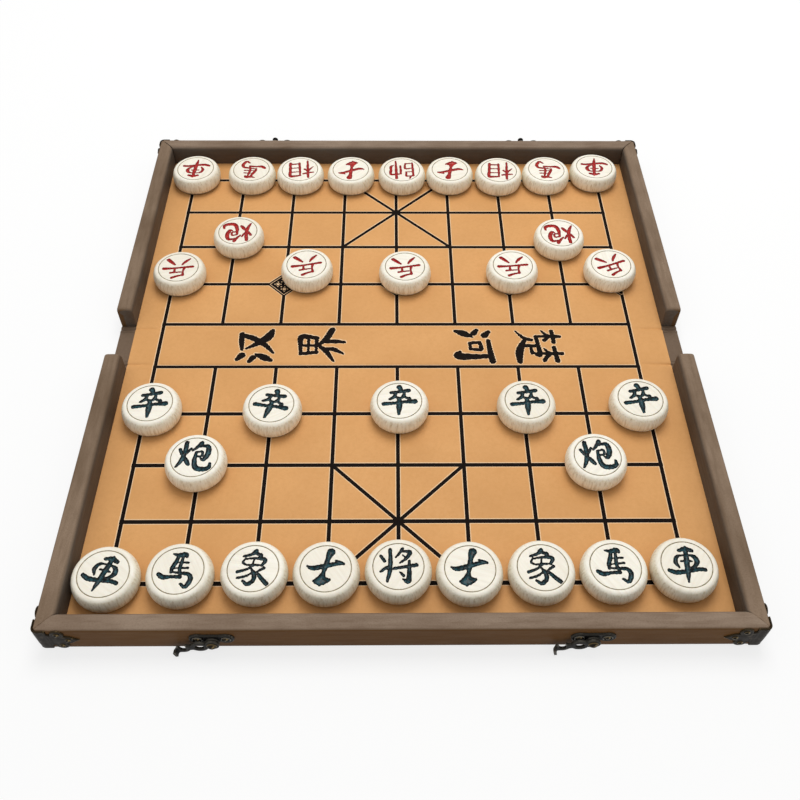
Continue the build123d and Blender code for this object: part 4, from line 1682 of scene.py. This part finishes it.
# ------------------------------------------------------------------------------------------------ playing pieces
@dataclass
class CarvedPiece:
    """A turned wooden piece with a ring and a glyph cut into its top.

    Attributes:
        radius: largest radius, halfway up.
        flat: radius of the flat top and bottom before the edges are rounded.
        height: height.
        sole: hair's breadth between its foot and the field.
        edge: radius of the rounded edges.
        ring: radius of the ring.
        ring_width: width of its groove.
        ring_depth: depth of its groove.
        glyph_size: side of the square that a glyph fills.
        cut: depth of the carving.
        slope: how far from its edge the carving reaches its full depth.
        steepness: power of the slope. Below one it falls steeply at first.
        pitch: step at which the glyph's outline is traced.
        levels: depths inside the glyph that get lines of their own.
        grid: step of the points on the carving's floor.
        coarse: step of the points on the whole face.
        segments: steps round the axis.
    """

    radius: float = 15.0
    flat: float = 13.3
    height: float = 10.6
    sole: float = 0.01
    edge: float = 2.2
    ring: float = 11.3
    ring_width: float = 0.5
    ring_depth: float = 0.34
    glyph_size: float = 18.4
    cut: float = 0.75
    slope: float = 1.25
    steepness: float = 0.75
    pitch: float = 0.24
    levels: tuple[float, ...] = (0.0, 0.16, 0.55)
    grid: float = 0.42
    coarse: float = 2.0
    segments: int = 96

    def profile(self) -> tuple[list[Point], list[int]]:
        """Profile from the middle of the bottom, round the bulging side, to the inner edge of the ring.

        Returns:
            The points, and the finish of each band: nought is wood and one is the cut ring.
        """
        half = self.height / 2
        bulge = self.radius - self.flat
        bow = (half**2 + bulge**2) / (2 * bulge)
        middle = self.radius - bow
        reach = math.sqrt((bow - self.edge) ** 2 - (half - self.edge) ** 2)
        tilt = math.degrees(math.atan2(half - self.edge, reach))
        low = arc((middle + reach, self.edge), self.edge, -90, -tilt, 5)
        side = arc((middle, half), bow, -tilt, tilt, 12)[1:-1]
        high = arc((middle + reach, self.height - self.edge), self.edge, tilt, 90, 5)
        points = [(r, max(z, self.sole)) for r, z in [(0.0, 0.0), (low[0][0] - 0.6, 0.0), *low, *side, *high]]
        outer, inner, lip = self.ring + self.ring_width / 2, self.ring - self.ring_width / 2, self.height - 0.03
        points += [(outer + 0.25, self.height), (outer, lip), (self.ring, self.height - self.ring_depth), (inner, lip),
                   (inner - 0.2, self.height)]
        bands = len(points) - 1
        return points, [1 if band in (bands - 2, bands - 3) else 0 for band in range(bands)]

    def face(self, glyph: Glyph, rim: float, weight: float) -> Shape:
        """The disc inside the ring, with the glyph cut into it.

        Args:
            glyph: the mark.
            rim: radius of the disc.
            weight: factor on the brush's width.

        Returns:
            The open disc.
        """
        outline = glyph.depth(self.glyph_size, weight)
        window = (-rim, rim, -rim, rim)
        plan = Plan()
        plan.loop([(rim * math.cos(math.tau * k / self.segments), rim * math.sin(math.tau * k / self.segments))
                   for k in range(self.segments)])
        for level in self.levels:
            plan.draw(*contour(outline, window, self.pitch, level))
        plan.dots(inner_dots(outline, window, self.grid, 0.33))
        plan.dots([(self.coarse * i, self.coarse * j) for i in range(-5, 6) for j in range(-5, 6)
                   if math.hypot(i, j) < rim / self.coarse - 0.4])
        places, triangles = plan.triangles()
        depth = outline(places[:, 0], places[:, 1])
        sunk = self.cut * np.clip(depth / self.slope, 0, 1) ** self.steepness
        middles = places[triangles].mean(axis=1)
        cut = outline(middles[:, 0], middles[:, 1]) > 0
        shape = Shape()
        shape.add([(x, y, self.height - s) for (x, y), s in zip(places.tolist(), sunk.tolist())], triangles.tolist(),
                  [2 if c else 0 for c in cut])
        return shape

    def build(self, glyph: Glyph, weight: float) -> Shape:
        """One piece, standing on the origin with the glyph's top towards +Y."""
        points, bands = self.profile()
        return turned(points, self.segments, bands, open_end=True).join(self.face(glyph, points[-1][0], weight))


@dataclass
class PlayingSet:
    """The thirty-two pieces, each standing where its CAD node stands.

    Attributes:
        piece: the piece they are all turned as.
        grain_seed: seed of the wood's grain.
    """

    piece: CarvedPiece = field(default_factory=CarvedPiece)
    grain_seed: int = 31

    BLACK = {
        "chariot_left": (Glyph.CHARIOT, -18), "horse_left": (Glyph.HORSE, -5), "elephant_left": (Glyph.ELEPHANT, -3),
        "advisor_left": (Glyph.ADVISOR, -2), "general": (Glyph.GENERAL, 0), "advisor_right": (Glyph.ADVISOR, 2),
        "elephant_right": (Glyph.ELEPHANT, 2), "horse_right": (Glyph.HORSE, 0), "chariot_right": (Glyph.CHARIOT, -2),
        "cannon_left": (Glyph.CANNON, -3), "cannon_right": (Glyph.CANNON, 4), "soldier_1": (Glyph.SOLDIER_BLACK, 3),
        "soldier_2": (Glyph.SOLDIER_BLACK, -15), "soldier_3": (Glyph.SOLDIER_BLACK, 1),
        "soldier_4": (Glyph.SOLDIER_BLACK, 2), "soldier_5": (Glyph.SOLDIER_BLACK, 5),
    }
    RED = {
        "chariot_left": (Glyph.CHARIOT, -2), "horse_left": (Glyph.HORSE, -8), "elephant_left": (Glyph.ELEPHANT_RED, 5),
        "advisor_left": (Glyph.ADVISOR, 8), "general": (Glyph.GENERAL_RED, 2), "advisor_right": (Glyph.ADVISOR, 3),
        "elephant_right": (Glyph.ELEPHANT_RED, -3), "horse_right": (Glyph.HORSE, -8),
        "chariot_right": (Glyph.CHARIOT, -4), "cannon_left": (Glyph.CANNON, 6), "cannon_right": (Glyph.CANNON, 3),
        "soldier_1": (Glyph.SOLDIER_RED, 2), "soldier_2": (Glyph.SOLDIER_RED, 7), "soldier_3": (Glyph.SOLDIER_RED, 5),
        "soldier_4": (Glyph.SOLDIER_RED, 1), "soldier_5": (Glyph.SOLDIER_RED, 17),
    }

    BOLD = {Glyph.CANNON: 1.15, Glyph.SOLDIER_BLACK: 1.25}

    def grain(self, thing: bpy.types.Object, angle: float, shift: np.ndarray) -> None:
        """Store where each vertex lies in the plank that the piece was turned from.

        Args:
            thing: the piece.
            angle: direction of the grain, in degrees.
            shift: place of the piece in the plank, in metres.
        """
        mesh = thing.data
        places = np.zeros(len(mesh.vertices) * 3)
        mesh.vertices.foreach_get("co", places)
        places = places.reshape(-1, 3)
        cosine, sine = math.cos(math.radians(angle)), math.sin(math.radians(angle))
        rotated = np.stack([cosine * places[:, 0] + sine * places[:, 1], cosine * places[:, 1] - sine * places[:, 0],
                            places[:, 2]], axis=1) + shift
        attribute = mesh.attributes.new("wood_place", "FLOAT_VECTOR", "POINT")
        attribute.data.foreach_set("vector", rotated.astype(np.float32).ravel())

    def build(self) -> None:
        """Make all the pieces."""
        random = np.random.default_rng(self.grain_seed)
        for colour, table, paint, weight, facing in (("black", self.BLACK, BLACK_ENAMEL, 1.3, 0),
                                                     ("red", self.RED, RED_ENAMEL, 1.2, 180)):
            cut: dict[Glyph, Shape] = {}
            for name, (glyph, turn) in table.items():
                node = f"{colour}_{name}"
                if glyph not in cut:
                    cut[glyph] = self.piece.build(glyph, weight * self.BOLD.get(glyph, 1.0))
                low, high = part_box(node)
                centre = ((low.x + high.x) / 2 / MM, (low.y + high.y) / 2 / MM, low.z / MM)
                thing = cut[glyph].stored(f"{node}_carved", [PALE_WOOD, RING_WOOD, paint], centre)
                self.grain(thing, float(random.uniform(0, 180)), random.uniform(0, 1, 3))
                thing.rotation_euler = (0, 0, math.radians(facing + turn))
                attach(thing, f"{node}_piece")
                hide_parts(node)
            log.info("%s side: %d pieces", colour, len(table))


# ------------------------------------------------------------------------------------------------ metalwork
@dataclass
class Hardware:
    """Antique bronze corner guards, latches, catches and nails.

    Attributes:
        sheet: thickness of a guard's sheet.
        edge: radius of a stamped edge.
        bead_at: from a stamped edge to the middle of its raised bead.
        levels: depths at which a beaded face gets lines of its own.
        trace: step at which a plate's outline is traced.
        guard_trace: step at which a guard's outline is traced.
        stand_off: from a stamped back to the wall.
        shank: length of a nail's shank.
        guard_foot: height of a guard's lower edge.
        guard_top: height of its upper edge.
        guard_root: from the corner to where its lobes begin.
        guard_lobe: radius of its lobes.
        guard_lobe_at: from the corner to the middle of the upper and the lower lobe.
        guard_tip_at: from the corner to the middle of the pointed lobe.
        guard_reach: from the corner to its point.
        corner: radius of the tray's corner.
        spread: from the middle of the box to a latch.
        plate: thickness of a latch's or a catch's plate.
        lobe: radius of the latch plate's lobes.
        lobe_at: from its middle to the middle of a lobe.
        plate_z: height of its middle.
        bridge: lower and upper edge of the bar between its lobes.
        pivot_z: height of the hook's pivot.
        boss: radius of the boss round the pivot.
        boss_rise: how far the boss stands off the plate.
        catch_lobe: radius of the catch plate's lobes.
        catch_lobe_at: from its middle to the middle of a lobe.
        catch_bridge: width of the bar between its lobes.
        catch_z: height of its middle.
        stud_z: height of the stud.
        stud: radius of its neck.
        stud_head: radius of its head.
        hook_back: from the wall to the hook's back.
        hook_sheet: thickness of the hook.
        hook_length: from the pivot to the middle of the mouth.
        finger_gap: from the stud's head to where the finger begins to curl.
        finger_bend: inner radius of that curl.
        finger: lower and upper edge of the finger.
        play: gap between the hook and the stud.
        droop: how far the closed hook slopes down towards its mouth, in degrees.
        nail_head: radius of a nail's head.
        nail_rise: height of its dome.
        rivet_head: radius of a rivet's head.
        rivet_rise: height of its dome.
        reach: from the wall to the outermost point of studs and rivets.
    """

    sheet: float = 0.8
    edge: float = 0.3
    bead_at: float = 0.55
    levels: tuple[float, ...] = (0.0, 0.12, 0.3, 0.6, 1.0)
    trace: float = 0.28
    guard_trace: float = 0.32
    stand_off: float = 0.02
    shank: float = 1.2
    guard_foot: float = 0.5
    guard_top: float = 16.4
    guard_root: float = 5.5
    guard_lobe: float = 2.9
    guard_lobe_at: float = 9.8
    guard_tip_at: float = 13.4
    guard_reach: float = 18.4
    corner: float = 2.0
    spread: float = 81.0
    plate: float = 1.0
    lobe: float = 3.6
    lobe_at: float = 6.05
    plate_z: float = 9.4
    bridge: tuple[float, float] = (-1.8, 3.2)
    pivot_z: float = 7.2
    boss: float = 3.2
    boss_rise: float = 0.6
    catch_lobe: float = 3.7
    catch_lobe_at: float = 8.2
    catch_bridge: float = 5.8
    catch_z: float = 12.4
    stud_z: float = 14.0
    stud: float = 1.15
    stud_head: float = 1.8
    hook_back: float = 1.7
    hook_sheet: float = 1.2
    hook_length: float = 13.0
    finger_gap: float = 0.3
    finger_bend: float = 0.8
    finger: tuple[float, float] = (-2.6, 0.6)
    play: float = 0.2
    droop: float = 14.145
    nail_head: float = 1.3
    nail_rise: float = 0.6
    rivet_head: float = 2.2
    rivet_rise: float = 1.2
    reach: float = 4.2

    @property
    def guard_half(self) -> float:
        """Half the height of a guard."""
        return (self.guard_top - self.guard_foot) / 2

    @property
    def finger_start(self) -> float:
        """From the pivot to where the finger begins to curl."""
        return self.hook_length + self.stud_head + self.finger_gap

    def beaded(self, thickness: float, rise: float, width: float,
               ridge: float = 0.0) -> Callable[[np.ndarray], np.ndarray]:
        """Height of a stamped front with a raised bead along its edge.

        Args:
            thickness: height without the bead.
            rise: height of the bead.
            width: half its width.
            ridge: how far the middle swells.

        Returns:
            The height as a function of the depth inside the outline.
        """
        def front(depth: np.ndarray) -> np.ndarray:
            """Height at some depths."""
            bead = rise * np.exp(-(((depth - self.bead_at) / width) ** 2))
            return pillow(thickness, self.edge)(depth) + bead + ridge * (1 - np.exp(-np.maximum(depth - 1, 0)))

        return front

    # ---- corner guards
    def guard_outline(self) -> PlanField:
        """Depth inside an unrolled corner guard: X from the corner along both walls, Y from mid height up.

        Returns:
            The outline.
        """
        half = self.guard_half
        offset = half - self.guard_lobe
        shapes = [box_field(-self.guard_root, self.guard_root, -half, half)]
        for side in (-1, 1):
            shapes += [disc_field(side * self.guard_lobe_at, up * offset, self.guard_lobe) for up in (-1, 1)]
            shapes.append(disc_field(side * self.guard_tip_at, 0, self.guard_lobe))
            corners = [(self.guard_root, -offset), (self.guard_tip_at, -self.guard_lobe), (self.guard_reach, 0),
                       (self.guard_tip_at, self.guard_lobe), (self.guard_root, offset)]
            shapes.append(wedge_field(corners if side > 0 else [(-x, y) for x, y in reversed(corners)]))
        return joined(shapes, 0.22)

    def guard_place(self, points: np.ndarray) -> np.ndarray:
        """Bend an unrolled guard round the near left corner.

        Args:
            points: rows of distance along, distance up and height off the wall.

        Returns:
            Rows of X, Y and Z.
        """
        middle = (self.guard_top + self.guard_foot) / 2
        along, up, rise = points[:, 0], points[:, 1], points[:, 2]
        inside = np.clip(along / self.corner, -1, 1)
        angle = math.pi / 4 + inside * math.pi / 4
        beyond = np.sign(along) * np.maximum(np.abs(along) - self.corner, 0)
        radius = self.corner + rise
        x = -OUTER_X + self.corner - radius * np.cos(angle) + np.maximum(beyond, 0)
        y = -OUTER_Y + self.corner - radius * np.sin(angle) + np.maximum(-beyond, 0)
        return np.stack([x, y, middle + up], axis=1)

    def guard(self) -> Shape:
        """The near left corner guard, with a raised bead along its edge and a ridge down each leaf.

        Returns:
            The guard.
        """
        wide, high = self.guard_reach + 1, self.guard_half + 0.6
        front = self.beaded(self.sheet * 0.72, 0.16, 0.32, 0.22)
        return plate(self.guard_outline(), (-wide, wide, -high, high), front, self.stand_off, self.guard_trace,
                     self.levels).moved(self.guard_place)

    # ---- plates
    def on_wall(self, x: float, z: float, start: float = 0.0) -> Place:
        """Stand a flat plate on the near end wall, its height turned outwards."""
        return lambda p: np.stack([x + p[:, 0], -OUTER_Y - start - p[:, 2], z + p[:, 1]], axis=1)

    def lobed(self, lobe_at: float, lobe: float, bridge: Sequence[float], high: float,
              more: Sequence[PlanField] = ()) -> Shape:
        """A beaded plate with two round lobes.

        Args:
            lobe_at: from its middle to the middle of a lobe.
            lobe: radius of a lobe.
            bridge: lower and upper edge of the bar between them.
            high: half the height of the window that holds it.
            more: further outlines that it takes in.

        Returns:
            The plate, lying flat.
        """
        outline = joined([box_field(-lobe_at, lobe_at, *bridge), disc_field(-lobe_at, 0, lobe),
                          disc_field(lobe_at, 0, lobe), *more], 0.3)
        wide = lobe_at + lobe + 1
        return plate(outline, (-wide, wide, -high, high), self.beaded(self.plate * 0.8, 0.2, 0.35), self.stand_off,
                     self.trace, self.levels)

    def latch_plate(self) -> Shape:
        """The plate that carries the hook, with its boss.

        Returns:
            The plate, lying flat.
        """
        drop = self.pivot_z - self.plate_z
        shape = self.lobed(self.lobe_at, self.lobe, self.bridge, 6, [disc_field(0, drop, self.boss)])
        top = self.plate + self.boss_rise
        boss = turned([(0, 0.4), (self.boss, 0.4), (self.boss, top - 0.35), (self.boss - 0.12, top - 0.12),
                       (self.boss - 0.45, top), (0, top)], 40)
        return self.seated(shape.join(boss.moved(lambda p: p + np.array([0, drop, 0]))), self.lobe_at)

    def seated(self, shape: Shape, lobe_at: float) -> Shape:
        """Add the pressed rings round a plate's two nails.

        Args:
            shape: the plate.
            lobe_at: from its middle to a nail.

        Returns:
            The same plate.
        """
        ring = turned([(0, 0.3), (1.45, 0.3), (1.6, self.plate + 0.05), (1.95, self.plate + 0.3),
                       (2.3, self.plate + 0.05), (2.4, 0.3), (0, 0.25)], 32)
        for x in (-lobe_at, lobe_at):
            shape.join(ring.moved(lambda p, x=x: p + np.array([x, 0, 0])))
        return shape

    def catch_plate(self) -> Shape:
        """The catch with its stud, drawn as on the near wall.

        Returns:
            The catch, lying flat.
        """
        shape = self.lobed(self.catch_lobe_at, self.catch_lobe, (-self.catch_bridge / 2, self.catch_bridge / 2), 5)
        head, rise = self.hook_back + self.hook_sheet + self.play, self.stud_z - self.catch_z
        stud = turned([(0, 0.4), (self.stud + 0.7, 0.4), (self.stud + 0.6, self.plate + 0.1),
                       (self.stud, self.plate + 0.6), (self.stud, head), (self.stud_head - 0.25, head),
                       (self.stud_head, head + 0.2), (self.stud_head, head + 0.5), (self.stud_head * 0.86, head + 0.85),
                       (self.stud_head * 0.55, self.reach - 0.06), (0, self.reach)], 32)
        return self.seated(shape.join(stud.moved(lambda p: p + np.array([0, rise, 0]))), self.catch_lobe_at)

    def hook(self) -> Shape:
        """The hook in the flat: pivot at the origin, mouth towards -X and open upwards, finger unrolled.

        Returns:
            The hook, lying flat.
        """
        start = self.finger_start
        mouth = self.stud + self.play
        opening = wedge_field([(-self.hook_length - mouth, 0), (-self.hook_length + mouth, 0),
                               (-self.hook_length + mouth + 0.7, 6), (-self.hook_length - mouth - 0.7, 6)])
        arm = joined([disc_field(0, 0, 3.2), disc_field(-5.6, 0, 3.8), box_field(-self.hook_length, 0, -1.7, 1.7),
                      disc_field(-self.hook_length, 0, 3.0),
                      box_field(-start - 0.2, -self.hook_length, *self.finger)], 0.22)
        quarter = math.pi / 2 * (self.finger_bend + self.hook_sheet / 2)
        finger = box_field(-start - quarter - 1.1, -start + 1.0, *self.finger)
        holes = [disc_field(0, 0, 1.28), disc_field(-5.6, 0, 2.0), disc_field(-self.hook_length, 0, mouth), opening]
        outline = without(joined([arm, finger], 0.15), holes)
        window = (-start - quarter - 2, 4.2, -4.6, 4.6)
        return plate(outline, window, pillow(self.hook_sheet, 0.28), 0.0, 0.26, (0.0, 0.1, 0.28, 0.8))

    def hook_place(self, x: float) -> Place:
        """Curl the finger outwards, turn the hook down and stand it on the near wall.

        Args:
            x: the pivot's place along the wall.

        Returns:
            The placing function.
        """
        start = self.finger_start
        bend = self.finger_bend + self.hook_sheet / 2
        cosine, sine = math.cos(math.radians(self.droop)), math.sin(math.radians(self.droop))

        def place(p: np.ndarray) -> np.ndarray:
            """Place the points of the flat hook.

            Args:
                p: rows of distance along, distance up and height.

            Returns:
                Rows of X, Y and Z.
            """
            along, up, rise = p[:, 0], p[:, 1], p[:, 2]
            past = np.maximum(-along - start, 0)
            angle = np.clip(past / bend, 0, math.pi / 2)
            straight = np.maximum(past - bend * math.pi / 2, 0)
            radius = self.finger_bend + self.hook_sheet - rise
            sx = np.where(past > 0, -start - radius * np.sin(angle), along)
            out = np.where(past > 0, self.finger_bend + self.hook_sheet - radius * np.cos(angle) + straight, rise)
            return np.stack([x + cosine * sx - sine * up, -OUTER_Y - self.hook_back - out,
                             self.pivot_z + sine * sx + cosine * up], axis=1)

        return place

    # ---- nails
    def dome(self, radius: float, rise: float, depth: float) -> Shape:
        """A domed head with a short shank, along +Z.

        Args:
            radius: radius of the head.
            rise: height of the dome.
            depth: length of the shank.

        Returns:
            The head, its underside at nought.
        """
        bow = (radius**2 + rise**2) / (2 * rise)
        half = math.degrees(math.asin(radius / bow))
        top = arc((0, rise - bow), bow, 90 - half, 90, 6)
        return turned([(0, -depth), (radius * 0.4, -depth), (radius * 0.4, -0.02), (radius * 0.97, -0.02), *top[:-1],
                       (0, rise)], 28)

    def guard_nails(self) -> Shape:
        """The six nails of the near left guard.

        Returns:
            The nails.
        """
        shape = Shape()
        offset = self.guard_half - self.guard_lobe
        head = self.dome(self.nail_head, self.nail_rise, self.shank)
        for side in (-1, 1):
            for along, up in ((self.guard_lobe_at, offset), (self.guard_lobe_at, -offset), (self.guard_tip_at, 0)):
                shift = np.array([side * along, up, self.sheet])
                shape.join(head.moved(lambda p, shift=shift: self.guard_place(p + shift)))
        return shape

    def plate_nails(self, lobe_at: float, z: float) -> Shape:
        """The four nails of the two plates on the near end wall.

        Args:
            lobe_at: from a plate's middle to a nail.
            z: height of the nails.

        Returns:
            The nails.
        """
        shape = Shape()
        head = self.dome(self.nail_head, self.nail_rise, self.shank)
        for x in (-self.spread, self.spread):
            for side in (-1, 1):
                shape.join(head.moved(self.on_wall(x + side * lobe_at, z, self.plate)))
        return shape

    def build(self) -> None:
        """Make all the metalwork."""
        for tray, place in TRAYS:
            body = f"{tray}_tray"
            guard, nails = self.guard(), self.guard_nails()
            for side, turn in SIDES:
                guard.moved(turn).moved(place).fitted(f"{tray}_{side}_guard_stamped", BRONZE, body,
                                                      f"{tray}_{side}_corner_guard")
            both = self.plate_nails(*((self.lobe_at, self.plate_z) if tray == "near" else
                                      (self.catch_lobe_at, self.catch_z)))
            for _, turn in SIDES:
                both.join(nails.moved(turn))
            both.moved(place).fitted(f"{tray}_nails_domed", BRASSY, body, f"{tray}_nails")
        rivets = Shape()
        rivet = self.dome(self.rivet_head, self.rivet_rise, 3.4)
        for side, x in (("left", -self.spread), ("right", self.spread)):
            latch = self.latch_plate().moved(self.on_wall(x, self.plate_z))
            hook = self.hook().moved(self.hook_place(x))
            catch = self.catch_plate().moved(self.on_wall(x, self.catch_z)).moved(mirror_y)
            for shape, name, body in ((latch, "latch_plate", "near_tray"), (hook, "latch_hook", f"{side}_hook"),
                                      (catch, "catch_plate", "far_tray")):
                shape.fitted(f"{side}_{name}_stamped", BLACKENED, body, f"{side}_{name}")
            rivets.join(rivet.moved(self.on_wall(x, self.pivot_z, self.reach - self.rivet_rise)))
        rivets.fitted("latch_rivets_domed", BRASSY, "near_tray", "latch_rivets")
        log.info("metalwork: guards, latches, catches, nails and rivets")


@dataclass
class Boards:
    """The greyboards that stay as their CAD nodes and get their own finish.

    Attributes:
        nodes: the frame's nodes by name.
    """

    nodes: dict[str, bpy.types.Object]

    NAMES = ("near_base_board", "spine_board", "far_base_board")

    def build(self) -> None:
        """Dress the three boards."""
        for name in self.NAMES:
            slots = self.nodes[name].material_slots
            for slot in slots:
                slot.material = BOARD.material()
            log.info("%s: %d slot dressed", name, len(slots))


# ------------------------------------------------------------------------------------------------ studio
@dataclass
class Studio:
    """Plain pale floor, soft light from above and the camera.

    Attributes:
        eye: place of the camera.
        azimuth: direction of view, in degrees from +Y towards +X.
        elevation: height of the camera above the horizon, in degrees.
        roll: turn of the camera about its own axis.
        lens: focal length for a sensor 36 wide.
        floor_colour: colour of the floor.
        floor_reach: from its middle to its edge.
        floor_glow: share of plain white in what the camera sees of it.
        sky: strength of the even light from all round.
        lamp_place: where the soft box hangs, in metres.
        lamp_size: its side, in metres.
        lamp_power: its power, in watts.
    """

    eye: tuple[float, float, float] = (-5.0, -327.1, 367.4)
    azimuth: float = 0.947
    elevation: float = 51.47
    roll: float = 0.662
    lens: float = 40.05
    floor_colour: str = "#FBFBFA"
    floor_reach: float = 4000.0
    floor_glow: float = 0.75
    sky: float = 0.57
    lamp_place: tuple[float, float, float] = (0.08, 0.5, 1.2)
    lamp_size: float = 0.7
    lamp_power: float = 8.8

    def camera(self) -> None:
        """Set the camera at the photograph's angle."""
        data = bpy.data.cameras.new("camera")
        data.lens, data.sensor_width, data.clip_start, data.clip_end = self.lens, 36.0, 0.01, 50.0
        eye = bpy.data.objects.new("camera", data)
        eye.matrix_world = (Matrix.Translation([c * MM for c in self.eye])
                            @ Matrix.Rotation(-math.radians(self.azimuth), 4, "Z")
                            @ Matrix.Rotation(math.radians(90 - self.elevation), 4, "X")
                            @ Matrix.Rotation(math.radians(self.roll), 4, "Z"))
        bpy.context.scene.collection.objects.link(eye)
        bpy.context.scene.camera = eye

    @staticmethod
    def seen(tree: bpy.types.NodeTree) -> bpy.types.NodeSocket:
        """Give a share that is one for rays from the camera, off gloss and through glass, and nought for the rest.

        Args:
            tree: the node tree.

        Returns:
            The share's socket.
        """
        path = add_node(tree, "ShaderNodeLightPath").outputs
        bent = add_node(tree, MATH, {0: path["Is Glossy Ray"], 1: path["Is Transmission Ray"]}, operation="MAXIMUM")
        return add_node(tree, MATH, {0: path["Is Camera Ray"], 1: bent}, operation="MAXIMUM").outputs[0]

    def floor(self) -> None:
        """Lay a white paper floor, which shows as white to the camera away from the shadows."""
        mesh = bpy.data.meshes.new("floor")
        reach = self.floor_reach * MM
        mesh.from_pydata([(x * reach, y * reach, -0.05 * MM) for x, y in ((-1, -1), (1, -1), (1, 1), (-1, 1))], [],
                         [(0, 1, 2, 3)])
        material = bpy.data.materials.new("paper_white_matt")
        material.use_nodes = True
        tree = material.node_tree
        tree.nodes.clear()
        shader = add_node(tree, "ShaderNodeBsdfDiffuse", {"Color": linear(self.floor_colour)})
        white = add_node(tree, "ShaderNodeEmission", {"Color": linear("#FFFFFF"), "Strength": 1.0})
        share = add_node(tree, MATH, {0: self.seen(tree), 1: self.floor_glow}, operation="MULTIPLY")
        both = add_node(tree, MIX_SHADER, {0: share, 1: shader, 2: white})
        add_node(tree, "ShaderNodeOutputMaterial", {"Surface": both})
        mesh.materials.append(material)
        floor = bpy.data.objects.new("floor", mesh)
        bpy.context.scene.collection.objects.link(floor)

    def lamp(self) -> None:
        """Hang one soft box that faces the middle of the box."""
        data = bpy.data.lights.new("overhead", "AREA")
        data.shape, data.size, data.energy = "SQUARE", self.lamp_size, self.lamp_power
        lamp = bpy.data.objects.new("overhead", data)
        lamp.location = self.lamp_place
        lamp.rotation_euler = (-Vector(self.lamp_place)).to_track_quat("-Z", "Y").to_euler()
        bpy.context.scene.collection.objects.link(lamp)

    def world(self) -> None:
        """Give the sky an even pale light, seen as white."""
        world = bpy.data.worlds.new("studio")
        bpy.context.scene.world = world
        world.use_nodes = True
        tree = world.node_tree
        tree.nodes.clear()
        white = add_node(tree, "ShaderNodeBackground", {"Color": linear("#FFFFFF"), "Strength": 1.0})
        soft = add_node(tree, "ShaderNodeBackground", {"Color": linear("#FFFFFF"), "Strength": self.sky})
        both = add_node(tree, MIX_SHADER, {0: self.seen(tree), 1: soft, 2: white})
        add_node(tree, "ShaderNodeOutputWorld", {"Surface": both})

    def build(self) -> None:
        """Set up the studio."""
        self.camera()
        self.floor()
        self.world()
        self.lamp()
        bpy.context.scene.view_settings.view_transform = "Standard"


def main() -> None:
    """Dress the box, in the order in which it would be made."""
    logging.basicConfig(level=logging.INFO, format="%(message)s")
    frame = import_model()
    Studio().build()
    for part in (Boards(frame["nodes"]), HingeAndCovers(), WrappedWalls(), PrintedField(), Hardware(), PlayingSet()):
        part.build()


if __name__ == "__main__":
    main()
